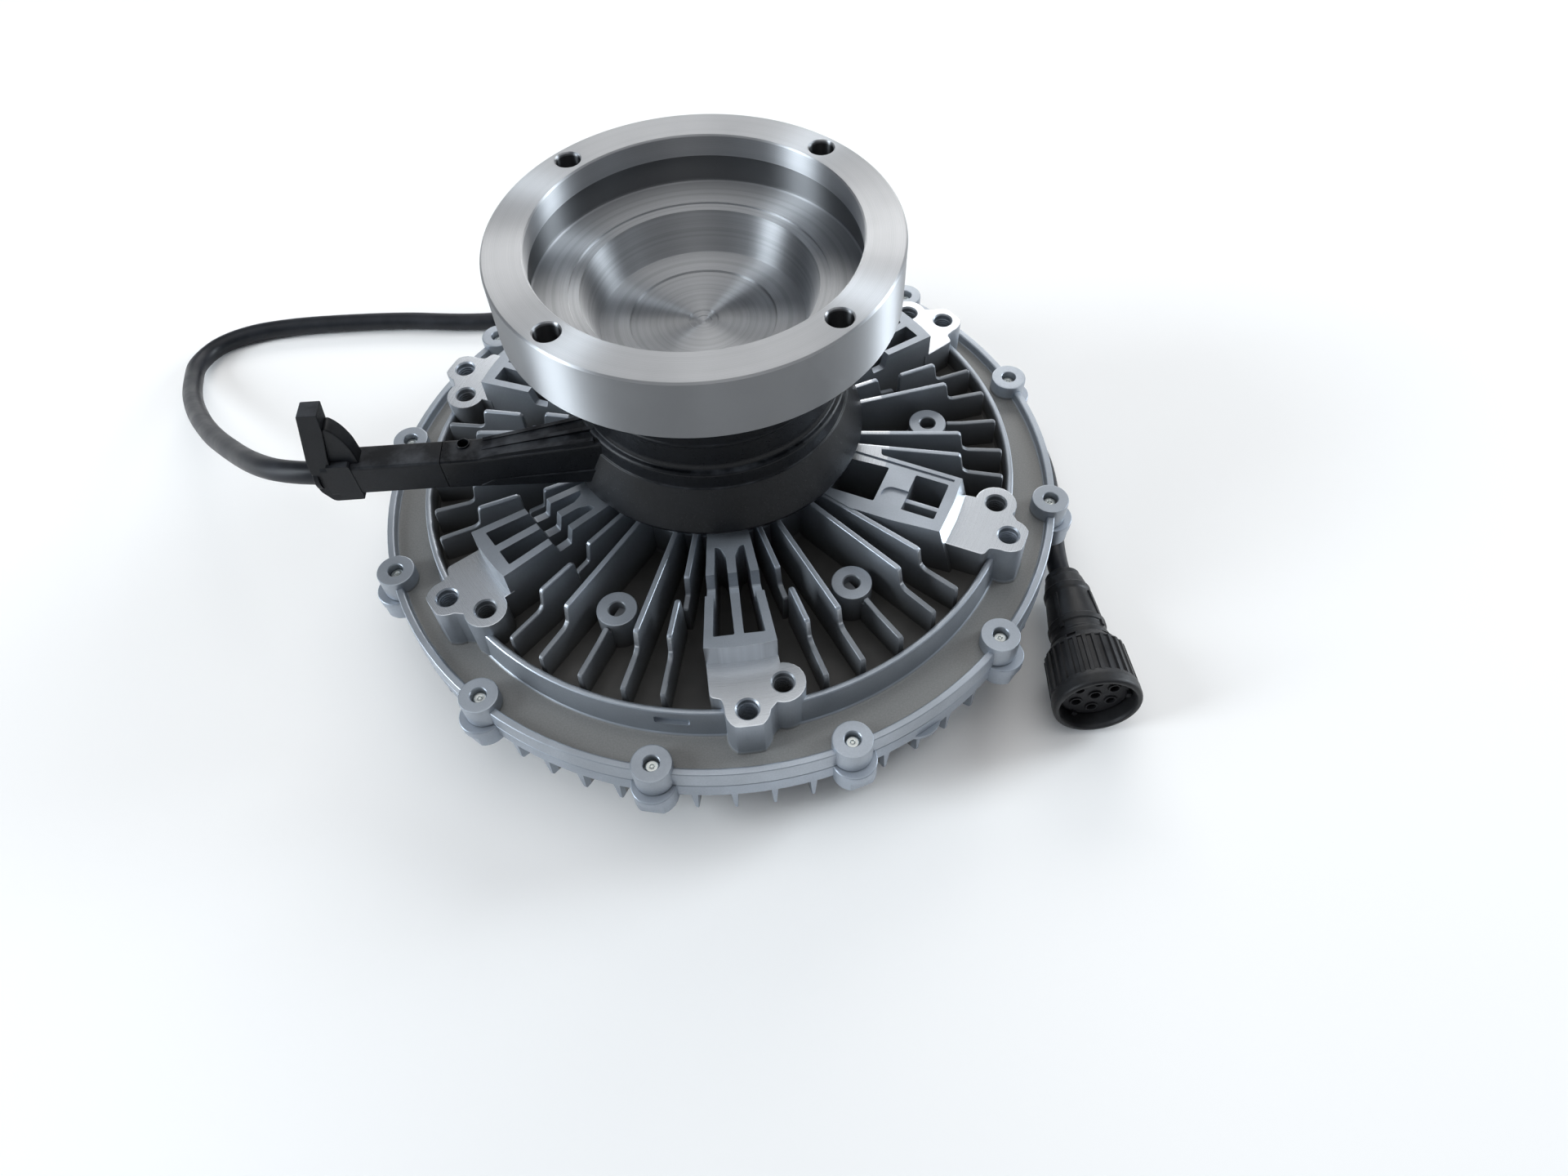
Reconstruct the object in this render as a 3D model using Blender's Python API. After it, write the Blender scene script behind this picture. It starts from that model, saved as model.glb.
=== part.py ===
"""Electronically controlled viscous fan clutch with its lead and round plug, standing cover down.

The shaft axis is +Z and the flange faces up. All sizes below are in millimetres.
"""

import math

import bmesh
import bpy
from mathutils import Matrix, Vector

MM = 0.001

# Clearances between pieces that seat on each other
FIT = 0.3
RUN = 1.0

# Facets of the large, the middle and the small turned pieces
LARGE_COUNT = 32
MIDDLE_COUNT = 24
SMALL_COUNT = 12

# Drive flange: a turned cup in one piece with the shaft
SHOULDER_LENGTH = 10.6
FLANGE_RADIUS = 72.0
FLANGE_DEPTH = 24.0
FLANGE_CHAMFER = 1.6
SPIGOT_RADIUS = 57.7
SPIGOT_DEPTH = 8.5
UNDERCUT = 2.4
UNDERCUT_DEPTH = 12.0
LEDGE_INNER_RADIUS = 42.7
LEDGE_STEP_WIDTH = 3.8
LEDGE_STEP_DEPTH = 0.8
BOWL_TAPER = 5.0
BOWL_FLOOR_RADIUS = LEDGE_INNER_RADIUS - BOWL_TAPER
BOWL_DEPTH = 16.0
BOWL_WALL = 6.0
FLOOR_RING_WIDTH = 10.7
FLOOR_RING_DEPTH = 0.8
DIMPLE_RADIUS = 5.5
DIMPLE_DEPTH = 1.2
FLANGE_BOLT_CIRCLE = 65.0
FLANGE_BOLT_RADIUS = 4.6
FLANGE_BOLT_PHASE = 40.7
SHAFT_SHOULDER_RADIUS = 22.0
SHAFT_SEAT_RADIUS = 17.5
ROTOR_SEAT_RADIUS = 14.0
SHAFT_THREAD_RADIUS = 11.0

# Bearings
COIL_BEARING_WIDTH = 14.0
COIL_BEARING_RADIUS = 31.0
COIL_BALL_RADIUS = 3.9
COIL_BALLS = 7
MAIN_BEARING_WIDTH = 27.0
MAIN_BEARING_RADIUS = 36.0
MAIN_BALL_RADIUS = 5.6
MAIN_BALLS = 8
RACE_WALL = 4.6
SPACER_LENGTH = 19.0
SPACER_WALL = 4.5
CIRCLIP_THICKNESS = 1.5
CIRCLIP_BITE = 1.6
CIRCLIP_WIDTH = 4.0

# Height of the lower face of the main bearing above the floor
MAIN_BEARING_BASE = 52.0

# Rear housing
SPLIT_HEIGHT = 36.0
FRAME_INNER = 47.8
FRAME_LENGTH = 58.5
FRAME_LAP = 2.8
FRAME_OUTER = FRAME_INNER + FRAME_LENGTH
PAD_INNER = FRAME_OUTER - FRAME_LAP
PAD_INSET = 20.5
RIM_RADIUS = PAD_INNER + PAD_INSET
TROUGH_WIDTH = 15.6
LIP_WALL = 3.2
RING_RADIUS = RIM_RADIUS + TROUGH_WIDTH + LIP_WALL
LIP_HEIGHT = 8.0
TROUGH_FLOOR = 4.0
RIM_WALL = 3.4
RIM_HEIGHT = 14.5
CHAMBER_RISE = 3.0
WEB_THICKNESS = 7.0
WEB_UNDERSIDE = SPLIT_HEIGHT + CHAMBER_RISE
WEB_TOP = WEB_UNDERSIDE + WEB_THICKNESS
CHAMBER_STEP = 3.0
CHAMBER_RADIUS = RIM_RADIUS + CHAMBER_STEP
HUB_WALL = 5.7
HUB_RADIUS = MAIN_BEARING_RADIUS + FIT + HUB_WALL
HUB_FOOT_RADIUS = 49.0
HUB_FOOT_HEIGHT = 16.0
HUB_SHOULDER = 4.3
LAND_INSET = 23.0
LAND_RADII = (RIM_RADIUS - LAND_INSET,)
LAND_WIDTH = 2.0
LAND_DEPTH = 4.0

# Perimeter lugs and their screws
LUG_COUNT = 12
LUG_PHASE = -105.0
LUG_INSET = 2.8
LUG_CIRCLE = RING_RADIUS - LUG_INSET
LUG_RADIUS = 7.65
LUG_HEIGHT = 11.0
COVER_LUG_OUTSET = 2.5
COVER_LUG_CIRCLE = LUG_CIRCLE + COVER_LUG_OUTSET
COVER_LUG_RADIUS = 8.5
COVER_LUG_DEPTH = 10.2
SCREW_RADIUS = 2.8
SCREW_TIP_DEPTH = 2.5
SCREW_HEAD_RADIUS = 5.2
SCREW_HEAD_HEIGHT = 5.2

# Fan bosses, frames and pillars: six of each
SECTORS = 6
SECTOR_PHASE = -90.0
PAD_HEIGHT = 60.7
PAD_HALF_WIDTH = 13.2
FAN_HOLE_OUTER_REACH = 22.1
FAN_HOLE_INNER_REACH = 12.9
FAN_HOLE_SIDE = 13.7
FAN_HOLE_OUTER = (0.0, PAD_INNER + FAN_HOLE_OUTER_REACH)
FAN_HOLE_INNER = (FAN_HOLE_SIDE, PAD_INNER + FAN_HOLE_INNER_REACH)
FAN_LOBE_RADIUS = 8.3
FAN_HOLE_RADIUS = 3.9
FAN_HOLE_DEPTH = 18.0
FRAME_TOP = 71.6
FRAME_INNER_HALF_WIDTH = 7.2
POCKET_INNER = 62.0
POCKET_END_WALL = 2.4
POCKET_OUTER = PAD_INNER - POCKET_END_WALL
POCKET_BAR = 3.2
NOTCH_INSET = 40.7
NOTCH_LENGTH = 9.3
NOTCH_OUTER = RIM_RADIUS - NOTCH_INSET
NOTCH_INNER = NOTCH_OUTER - NOTCH_LENGTH
NOTCH_DEPTH = 7.0
NOTCH_SLOPE = 1.8
PILLAR_INSET = 35.0
PILLAR_CIRCLE = RIM_RADIUS - PILLAR_INSET
PILLAR_RADIUS = 7.8
PILLAR_TOP = 61.3
PILLAR_HOLE_RADIUS = 3.2
PILLAR_HOLE_DEPTH = 12.0

# Radial fins of the rear housing
FIN_TOP = 69.0
FIN_LOW_TOP = 59.0
FIN_INNER = 48.0
FIN_RIM_GAP = 1.6
FIN_LOW_LENGTH = 18.0
FIN_END = RIM_RADIUS - RIM_WALL - FIN_RIM_GAP
FIN_STEP = FIN_END - FIN_LOW_LENGTH
FIN_TIP_THICKNESS = 2.2
FIN_DRAFT = 0.02
FIN_JOG_DROP = 9.0
FIN_JOG_ANGLE = 1.1
FIN_ANGLES_LONG = (21.7, 38.3)
FIN_ANGLES_JOGGED = (13.4, 46.6)
FIN_ANGLE_PILLAR = 30.0

# The heavy frame: flush with its fins, solid beside its walls, bridged by a plate
HEAVY_AZIMUTH = SECTOR_PHASE + 60.0
HEAVY_TOP = FIN_TOP + FIT
HEAVY_FIN_ANGLE = 14.9
HEAVY_NEAR = 16.9
HEAVY_FAR = 13.4
HEAVY_END_LAP = 0.4
HEAVY_HUB_HALF = 12.6
HEAVY_WEDGE_END = 67.5
HEAVY_WEDGE_HALF = 17.2
HEAVY_POCKET_NEAR = 10.4
HEAVY_POCKET_FAR = 10.8
HEAVY_POCKET_FAR_INNER = 7.4
HEAVY_POCKET_START = 52.0
HEAVY_END_WALL = 5.2
HEAVY_PLATE_LENGTH = 11.2
HEAVY_PLATE_SHIFT = 3.2
HEAVY_BAR = 2.2
HEAVY_BAR_SIDE = -3.0
HEAVY_BAR_DROP = 3.0
HEAVY_DIMPLE_SIDE = -5.0
HEAVY_DIMPLE_RADIUS = 4.2
HEAVY_DIMPLE_DEPTH = 1.0

# Front cover
COVER_RING_DEPTH = 8.2
COVER_RIM_WALL = 4.0
COVER_BODY_RADIUS = CHAMBER_RADIUS + COVER_RIM_WALL
COVER_FLOOR = 24.5
COVER_WALL = 5.0
COVER_RESERVOIR_RADIUS = 60.0
COVER_RESERVOIR_FLOOR = 14.5
COVER_HUB_RADIUS = 22.0
PLATE_LEDGE = 4.0
PLATE_THICKNESS = 1.5
COVER_FIN_COUNT = 60
COVER_FIN_PHASE = -99.3
COVER_FIN_INNER = 72.0
COVER_FIN_INSET = 0.8
COVER_FIN_OUTER = RING_RADIUS - COVER_FIN_INSET
COVER_FIN_TIP_HEIGHT = 14.2
COVER_FIN_TAPER = 27.5
COVER_FIN_FOOT_RADIUS = COVER_FIN_OUTER - COVER_FIN_TAPER
COVER_FIN_FOOT = 0.0
COVER_FIN_THICKNESS = 2.8
COVER_FIN_TIP_THICKNESS = 0.7
SEAL_OUTSET = 7.0
SEAL_RADIUS = CHAMBER_RADIUS + SEAL_OUTSET
SEAL_THICKNESS = 2.2
BALANCE_LUMP_ANGLE = -62.0

# Rotor
ROTOR_TIP_GAP = 5.0
ROTOR_RADIUS = CHAMBER_RADIUS - ROTOR_TIP_GAP
ROTOR_TOP = 37.4
ROTOR_UNDERSIDE = 27.0
ROTOR_HUB_RADIUS = 22.0
ROTOR_HUB_BASE = 32.0
NUT_RADIUS = 17.0
NUT_HEIGHT = 6.0

# Valve in the reservoir
VALVE_PIVOT_RADIUS = 26.0
VALVE_PORT_RADIUS = 50.0
VALVE_PORT = 3.0
VALVE_LEVER_WIDTH = 10.0
VALVE_LEVER_THICKNESS = 1.5
VALVE_PIN_RADIUS = 2.0

# Coil housing, its core and winding
COIL_TOP_GAP = 1.6
COIL_NECK_RADIUS = 49.6
COIL_STEP_RADIUS = 52.0
COIL_CAP_DEPTH = 19.4
COIL_SKIRT_RADIUS = 60.0
COIL_SKIRT_DEPTH = 26.0
COIL_WALL = 4.2
CORE_RADIUS = 47.0
CORE_WALL = 3.2
COIL_HUB_GAP = 2.6
CORE_WEB = 4.0
FLUX_RING_WALL = 4.5

# Arm, cable guide and its end plate, along the arm's own axis
ARM_YAW = 177.0
ARM_OFFSET = -25.0
ARM_LIFT = 3.5
ARM_DEPTH = 15.0
ARM_ROOT_RISE = 7.0
ARM_ROOT_WIDTH = 16.0
ARM_END_WIDTH = 12.0
ARM_ROOT = 43.0
ARM_KNEE = 90.0
ARM_END = 104.0
ARM_RIB = 1.4
ARM_SPIGOT_LENGTH = 10.0
ARM_SPIGOT_WIDTH = 7.4
LATCH_WIDTH = 3.4
PLATE_OUTER = 153.0
PLATE_LENGTH = 16.0
PLATE_INNER = PLATE_OUTER - PLATE_LENGTH
PLATE_DROP = 3.0
PLATE_WIDTH = 13.0
TAB_HEIGHT = 43.0
TAB_DEPTH = 7.4
TAB_LEAN = 5.0
TAB_WIDTH = 10.0

# Lead and plug
CABLE_RADIUS = 4.5
PLUG_MOUTH = (136.5, -121.0, 20.2)
PLUG_YAW = -94.3
PLUG_TILT = 5.3
PLUG_RING_RADIUS = 17.5
PLUG_RING_WALL = 2.8
PLUG_RING_LENGTH = 28.0
PLUG_FLUTES = 14
PLUG_FLUTE_DEPTH = 0.9
PLUG_INSERT_RECESS = 6.0
PLUG_INSERT_LENGTH = 16.0
PLUG_CONTACT_RADIUS = 1.7
PLUG_CONTACT_CIRCLE = 8.0
PLUG_CONTACTS = 6
PLUG_SHELL_RADIUS = 11.5
PLUG_TAIL_RADIUS = 7.4
PLUG_LENGTH = 67.0
PLUG_CABLE_DEPTH = 10.0

# Heights that follow from the sizes above
NECK_RADIUS = LEDGE_INNER_RADIUS + BOWL_WALL
MAIN_BEARING_TOP = MAIN_BEARING_BASE + MAIN_BEARING_WIDTH
SPACER_BASE = MAIN_BEARING_TOP + FIT
SPACER_TOP = SPACER_BASE + SPACER_LENGTH
COIL_BEARING_BASE = SPACER_TOP + FIT
COIL_BEARING_TOP = COIL_BEARING_BASE + COIL_BEARING_WIDTH
SHAFT_SHOULDER = COIL_BEARING_TOP + FIT
NECK_BASE = SHAFT_SHOULDER + SHOULDER_LENGTH
BOWL_FLOOR = NECK_BASE + BOWL_WALL
LEDGE_HEIGHT = BOWL_FLOOR + BOWL_DEPTH
FLANGE_TOP = LEDGE_HEIGHT + UNDERCUT_DEPTH + SPIGOT_DEPTH
ROTOR_HUB_TOP = MAIN_BEARING_BASE - FIT
NUT_TOP = ROTOR_HUB_BASE - FIT
NUT_BASE = NUT_TOP - NUT_HEIGHT
HUB_BORE = MAIN_BEARING_RADIUS + FIT
HUB_SEAT = MAIN_BEARING_BASE - FIT
CLIP_GROOVE_BASE = MAIN_BEARING_TOP + FIT
CLIP_GROOVE_TOP = CLIP_GROOVE_BASE + CIRCLIP_THICKNESS + 2 * FIT
HUB_TOP = CLIP_GROOVE_TOP + 2.0
CORE_BASE = HUB_TOP + COIL_HUB_GAP
TROUGH_TOP = SPLIT_HEIGHT + TROUGH_FLOOR
RIM_TOP = TROUGH_TOP + RIM_HEIGHT
LUG_TOP = SPLIT_HEIGHT + LUG_HEIGHT
COVER_TOP = SPLIT_HEIGHT - FIT
COVER_LUG_BASE = COVER_TOP - COVER_LUG_DEPTH
CORE_TOP = COIL_BEARING_TOP + FIT + CORE_WEB
COIL_TOP = NECK_BASE - COIL_TOP_GAP
COIL_STEP_HEIGHT = COIL_TOP - COIL_CAP_DEPTH
COIL_SKIRT_HEIGHT = COIL_STEP_HEIGHT - COIL_SKIRT_DEPTH
ARM_BASE = COIL_SKIRT_HEIGHT + ARM_LIFT
ARM_TOP = ARM_BASE + ARM_DEPTH
ARM_ROOT_TOP = ARM_TOP + ARM_ROOT_RISE
PLATE_BASE = ARM_BASE - PLATE_DROP
TAB_TOP = PLATE_BASE + TAB_HEIGHT
ARM_MIDDLE = (ARM_BASE + ARM_TOP) / 2


def material(name, colour, roughness, metallic):
    made = bpy.data.materials.new(name)
    made.use_nodes = True
    shader = made.node_tree.nodes["Principled BSDF"]
    shader.inputs["Base Color"].default_value = (*colour, 1.0)
    shader.inputs["Roughness"].default_value = roughness
    shader.inputs["Metallic"].default_value = metallic
    made.diffuse_color = (*colour, 1.0)
    return made


def clear_scene():
    for obj in list(bpy.data.objects):
        bpy.data.objects.remove(obj, do_unlink=True)


def finish_object(mesh_data, name, paint, smooth_angle=32.0):
    """Close the bmesh into a named object in metres, smooth below the given angle."""
    bmesh.ops.recalc_face_normals(mesh_data, faces=mesh_data.faces)
    bmesh.ops.scale(mesh_data, vec=(MM, MM, MM), verts=mesh_data.verts)
    for edge in mesh_data.edges:
        edge.smooth = edge.calc_face_angle(0.0) < math.radians(smooth_angle)
    for face in mesh_data.faces:
        face.smooth = True
    data = bpy.data.meshes.new(name)
    mesh_data.to_mesh(data)
    mesh_data.free()
    obj = bpy.data.objects.new(name, data)
    bpy.context.scene.collection.objects.link(obj)
    if paint is not None:
        data.materials.append(paint)
    return obj


def hide(obj):
    obj.hide_render = True
    obj.display_type = "WIRE"
    return obj


def boolean(obj, other, operation):
    """Add a Boolean with a hidden helper that follows the piece when it is placed."""
    hide(other)
    other.parent = obj
    modifier = obj.modifiers.new(operation.title() + "_" + other.name, "BOOLEAN")
    modifier.operation = operation
    modifier.object = other
    modifier.solver = "EXACT"
    return modifier


def spin_into(target, profile, segments, matrix=None):
    """Spin a closed profile of (radius, height) points about Z into the bmesh."""
    start = Matrix.Rotation(math.pi / segments, 4, "Z")
    points = [target.verts.new(start @ Vector((r, 0.0, z))) for r, z in profile]
    on_axis = [abs(r) < 1e-9 for r, _ in profile]
    edges = []
    for index, point in enumerate(points):
        following = (index + 1) % len(points)
        if on_axis[index] and on_axis[following]:
            continue
        edges.append(target.edges.new((point, points[following])))
    before = set(target.verts) - set(points)
    bmesh.ops.spin(
        target,
        geom=points + edges,
        cent=(0.0, 0.0, 0.0),
        axis=(0.0, 0.0, 1.0),
        angle=2 * math.pi,
        steps=segments,
        use_merge=False,
        use_duplicate=False,
    )
    made = [v for v in target.verts if v not in before]
    bmesh.ops.remove_doubles(target, verts=made, dist=0.01)
    made = [v for v in target.verts if v not in before]
    if matrix is not None:
        bmesh.ops.transform(target, matrix=matrix, verts=made)


def turned(name, profile, paint, segments=LARGE_COUNT, smooth_angle=32.0):
    shape = bmesh.new()
    spin_into(shape, profile, segments)
    return finish_object(shape, name, paint, smooth_angle)


def prism_into(target, outline, base, top, matrix=None, top_outline=None):
    """A prism over an (x, y) outline; a second outline tapers its top."""
    upper = top_outline or outline
    low = [target.verts.new((x, y, base)) for x, y in outline]
    high = [target.verts.new((x, y, top)) for x, y in upper]
    target.faces.new(low[::-1])
    target.faces.new(high)
    count = len(outline)
    for i in range(count):
        j = (i + 1) % count
        target.faces.new((low[i], low[j], high[j], high[i]))
    if matrix is not None:
        bmesh.ops.transform(target, matrix=matrix, verts=low + high)


def prism(name, outline, base, top, paint, smooth_angle=32.0):
    shape = bmesh.new()
    prism_into(shape, outline, base, top)
    return finish_object(shape, name, paint, smooth_angle)


def circle(radius, segments, centre=(0.0, 0.0), phase=0.0):
    steps = [phase + 2 * math.pi * i / segments for i in range(segments)]
    return [
        (centre[0] + radius * math.cos(a), centre[1] + radius * math.sin(a))
        for a in steps
    ]


def box_outline(x0, x1, y0, y1):
    return [(x0, y0), (x1, y0), (x1, y1), (x0, y1)]


def turn_z(degrees):
    return Matrix.Rotation(math.radians(degrees), 4, "Z")


def radial(degrees):
    """Places a shape drawn with +Y outward and +X along increasing angle."""
    return turn_z(degrees - 90.0) @ Matrix.Diagonal((-1.0, 1.0, 1.0, 1.0))


def wall_into(target, profile, thickness, draft, matrix):
    """A radial wall from an (r, z) profile, thinner at its top by the draft."""
    top = max(z for _, z in profile)
    sides = []
    for sign in (-1.0, 1.0):
        sides.append(
            [
                target.verts.new((r, sign * (thickness / 2 + (top - z) * draft), z))
                for r, z in profile
            ]
        )
    target.faces.new(sides[0])
    target.faces.new(sides[1][::-1])
    count = len(profile)
    for i in range(count):
        j = (i + 1) % count
        target.faces.new((sides[0][j], sides[0][i], sides[1][i], sides[1][j]))
    bmesh.ops.transform(target, matrix=matrix, verts=sides[0] + sides[1])


def stepped_into(target, spot, steps, segments):
    """A round stepped tool that stands at the spot, from (radius, height) steps."""
    profile = [(0.0, steps[0][1])] + steps + [(0.0, steps[-1][1])]
    spin_into(target, profile, segments, Matrix.Translation((*spot, 0.0)))


def sector_angles(offset=0.0):
    step = 360.0 / SECTORS
    return [SECTOR_PHASE + offset + i * step for i in range(SECTORS)]


def lug_angles():
    return [LUG_PHASE + i * 360.0 / LUG_COUNT for i in range(LUG_COUNT)]


def posts(name, centres, radius, base, top, segments):
    shape = bmesh.new()
    for x, y in centres:
        prism_into(shape, circle(radius, segments, (x, y)), base, top)
    return finish_object(shape, name, None)


def on_circle(radius, degrees):
    angle = math.radians(degrees)
    return (radius * math.cos(angle), radius * math.sin(angle))


# ---- Rear housing ----


def housing_profile():
    """Section of the casting, from its bore out along the top and back underneath."""
    groove = HUB_BORE + CIRCLIP_BITE + FIT
    lip_inner = RING_RADIUS - LIP_WALL
    points = [
        (HUB_BORE - HUB_SHOULDER, HUB_SEAT),
        (HUB_BORE, HUB_SEAT),
        (HUB_BORE, CLIP_GROOVE_BASE),
        (groove, CLIP_GROOVE_BASE),
        (groove, CLIP_GROOVE_TOP),
        (HUB_BORE, CLIP_GROOVE_TOP),
        (HUB_BORE, HUB_TOP),
        (HUB_RADIUS, HUB_TOP),
        (HUB_RADIUS, WEB_TOP + HUB_FOOT_HEIGHT),
        (HUB_FOOT_RADIUS, WEB_TOP + HUB_FOOT_HEIGHT),
        (HUB_FOOT_RADIUS, WEB_TOP),
        (RIM_RADIUS - RIM_WALL, WEB_TOP),
        (RIM_RADIUS - RIM_WALL, RIM_TOP),
        (RIM_RADIUS, RIM_TOP),
        (RIM_RADIUS, TROUGH_TOP),
        (lip_inner, TROUGH_TOP),
        (lip_inner, SPLIT_HEIGHT + LIP_HEIGHT),
        (RING_RADIUS, SPLIT_HEIGHT + LIP_HEIGHT),
        (RING_RADIUS, SPLIT_HEIGHT),
        (CHAMBER_RADIUS, SPLIT_HEIGHT),
        (CHAMBER_RADIUS, WEB_UNDERSIDE),
    ]
    for land in sorted(LAND_RADII, reverse=True):
        half = LAND_WIDTH / 2 + RUN
        points += [
            (land + half, WEB_UNDERSIDE),
            (land + half, WEB_UNDERSIDE + LAND_DEPTH),
            (land - half, WEB_UNDERSIDE + LAND_DEPTH),
            (land - half, WEB_UNDERSIDE),
        ]
    points.append((HUB_BORE - HUB_SHOULDER, WEB_UNDERSIDE))
    return points


def fin_profile(inner, outer, top, low_top, step):
    """A fin with a high inner part that drops at the step to a low outer part."""
    foot = WEB_TOP - 1.0
    points = [(inner, foot), (inner, top)]
    if step is not None:
        points += [(step - 1.0, top), (step + 1.0, low_top + 1.5), (step + 2.4, low_top)]
    points += [(outer - 1.6, low_top), (outer, low_top - 1.6), (outer, foot)]
    return points


def housing_fins():
    shape = bmesh.new()
    long_fin = fin_profile(FIN_INNER, FIN_END, FIN_TOP, FIN_LOW_TOP, FIN_STEP)
    outer_fin = fin_profile(NOTCH_OUTER, FIN_END, FIN_TOP, FIN_LOW_TOP, FIN_STEP)
    inner_fin = [
        (FIN_INNER, WEB_TOP - 1.0),
        (FIN_INNER, FIN_TOP),
        (NOTCH_INNER, FIN_TOP),
        (NOTCH_INNER + NOTCH_SLOPE, FIN_TOP - FIN_JOG_DROP),
        (NOTCH_OUTER - 1.0, FIN_TOP - FIN_JOG_DROP),
        (NOTCH_OUTER - 1.0, WEB_TOP - 1.0),
    ]
    pillar_start = PILLAR_CIRCLE + PILLAR_RADIUS + 0.5
    short_fin = fin_profile(pillar_start, FIN_END, FIN_LOW_TOP, FIN_LOW_TOP, None)
    for angle in FIN_ANGLES_LONG:
        for sector in sector_angles(angle):
            wall_into(shape, long_fin, FIN_TIP_THICKNESS, FIN_DRAFT, turn_z(sector))
    for angle in FIN_ANGLES_JOGGED:
        away = FIN_JOG_ANGLE if angle < 30.0 else -FIN_JOG_ANGLE
        for sector in sector_angles(angle):
            if abs(sector - HEAVY_AZIMUTH) < FIN_ANGLE_PILLAR:
                continue
            wall_into(shape, inner_fin, FIN_TIP_THICKNESS, FIN_DRAFT, turn_z(sector))
            outer_turn = turn_z(sector + away)
            wall_into(shape, outer_fin, FIN_TIP_THICKNESS, FIN_DRAFT, outer_turn)
    for side in (-HEAVY_FIN_ANGLE, HEAVY_FIN_ANGLE):
        beside = turn_z(HEAVY_AZIMUTH + side)
        wall_into(shape, long_fin, FIN_TIP_THICKNESS, FIN_DRAFT, beside)
    for sector in sector_angles(FIN_ANGLE_PILLAR):
        wall_into(shape, short_fin, FIN_TIP_THICKNESS, FIN_DRAFT, turn_z(sector))
    return finish_object(shape, "tool_fins", None)


def arc(centre, radius, start, end, count):
    points = []
    for i in range(count + 1):
        angle = math.radians(start + (end - start) * i / count)
        points.append(
            (centre[0] + radius * math.cos(angle), centre[1] + radius * math.sin(angle))
        )
    return points


def frame_half_width(radius):
    share = (radius - FRAME_INNER) / (FRAME_OUTER - FRAME_INNER)
    return FRAME_INNER_HALF_WIDTH + (PAD_HALF_WIDTH - FRAME_INNER_HALF_WIDTH) * share


def frame_shapes():
    """The raised radial frames, each with two pockets and a turned notch."""
    spread = math.degrees(math.asin(PAD_HALF_WIDTH / FRAME_OUTER))
    outline = [
        (-FRAME_INNER_HALF_WIDTH, FRAME_INNER),
        (FRAME_INNER_HALF_WIDTH, FRAME_INNER),
    ]
    outline += arc((0.0, 0.0), FRAME_OUTER, 90.0 - spread, 90.0 + spread, 4)
    shape = bmesh.new()
    cuts = bmesh.new()
    for sector in sector_angles():
        if abs(sector - HEAVY_AZIMUTH) < 1.0:
            continue
        place = radial(sector)
        prism_into(shape, outline, WEB_TOP - 1.0, FRAME_TOP, place)
        for side in (-1.0, 1.0):
            near = frame_half_width(POCKET_INNER) - POCKET_BAR
            far = frame_half_width(POCKET_OUTER) - POCKET_BAR
            half = POCKET_BAR / 2
            pocket = [
                (side * half, POCKET_INNER),
                (side * near, POCKET_INNER),
                (side * far, POCKET_OUTER),
                (side * half, POCKET_OUTER),
            ]
            prism_into(cuts, pocket, WEB_TOP + 0.6, FRAME_TOP + 1.0, place)
    frames = finish_object(shape, "tool_frames", None)
    boolean(frames, finish_object(cuts, "cut_pockets", None), "DIFFERENCE")
    notch = [
        (NOTCH_INNER + NOTCH_SLOPE, FRAME_TOP - NOTCH_DEPTH),
        (NOTCH_OUTER - NOTCH_SLOPE, FRAME_TOP - NOTCH_DEPTH),
        (NOTCH_OUTER, FRAME_TOP),
        (NOTCH_OUTER, FRAME_TOP + 1.0),
        (NOTCH_INNER, FRAME_TOP + 1.0),
        (NOTCH_INNER, FRAME_TOP),
    ]
    boolean(frames, turned("cut_notch", notch, None), "DIFFERENCE")
    return frames


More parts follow.
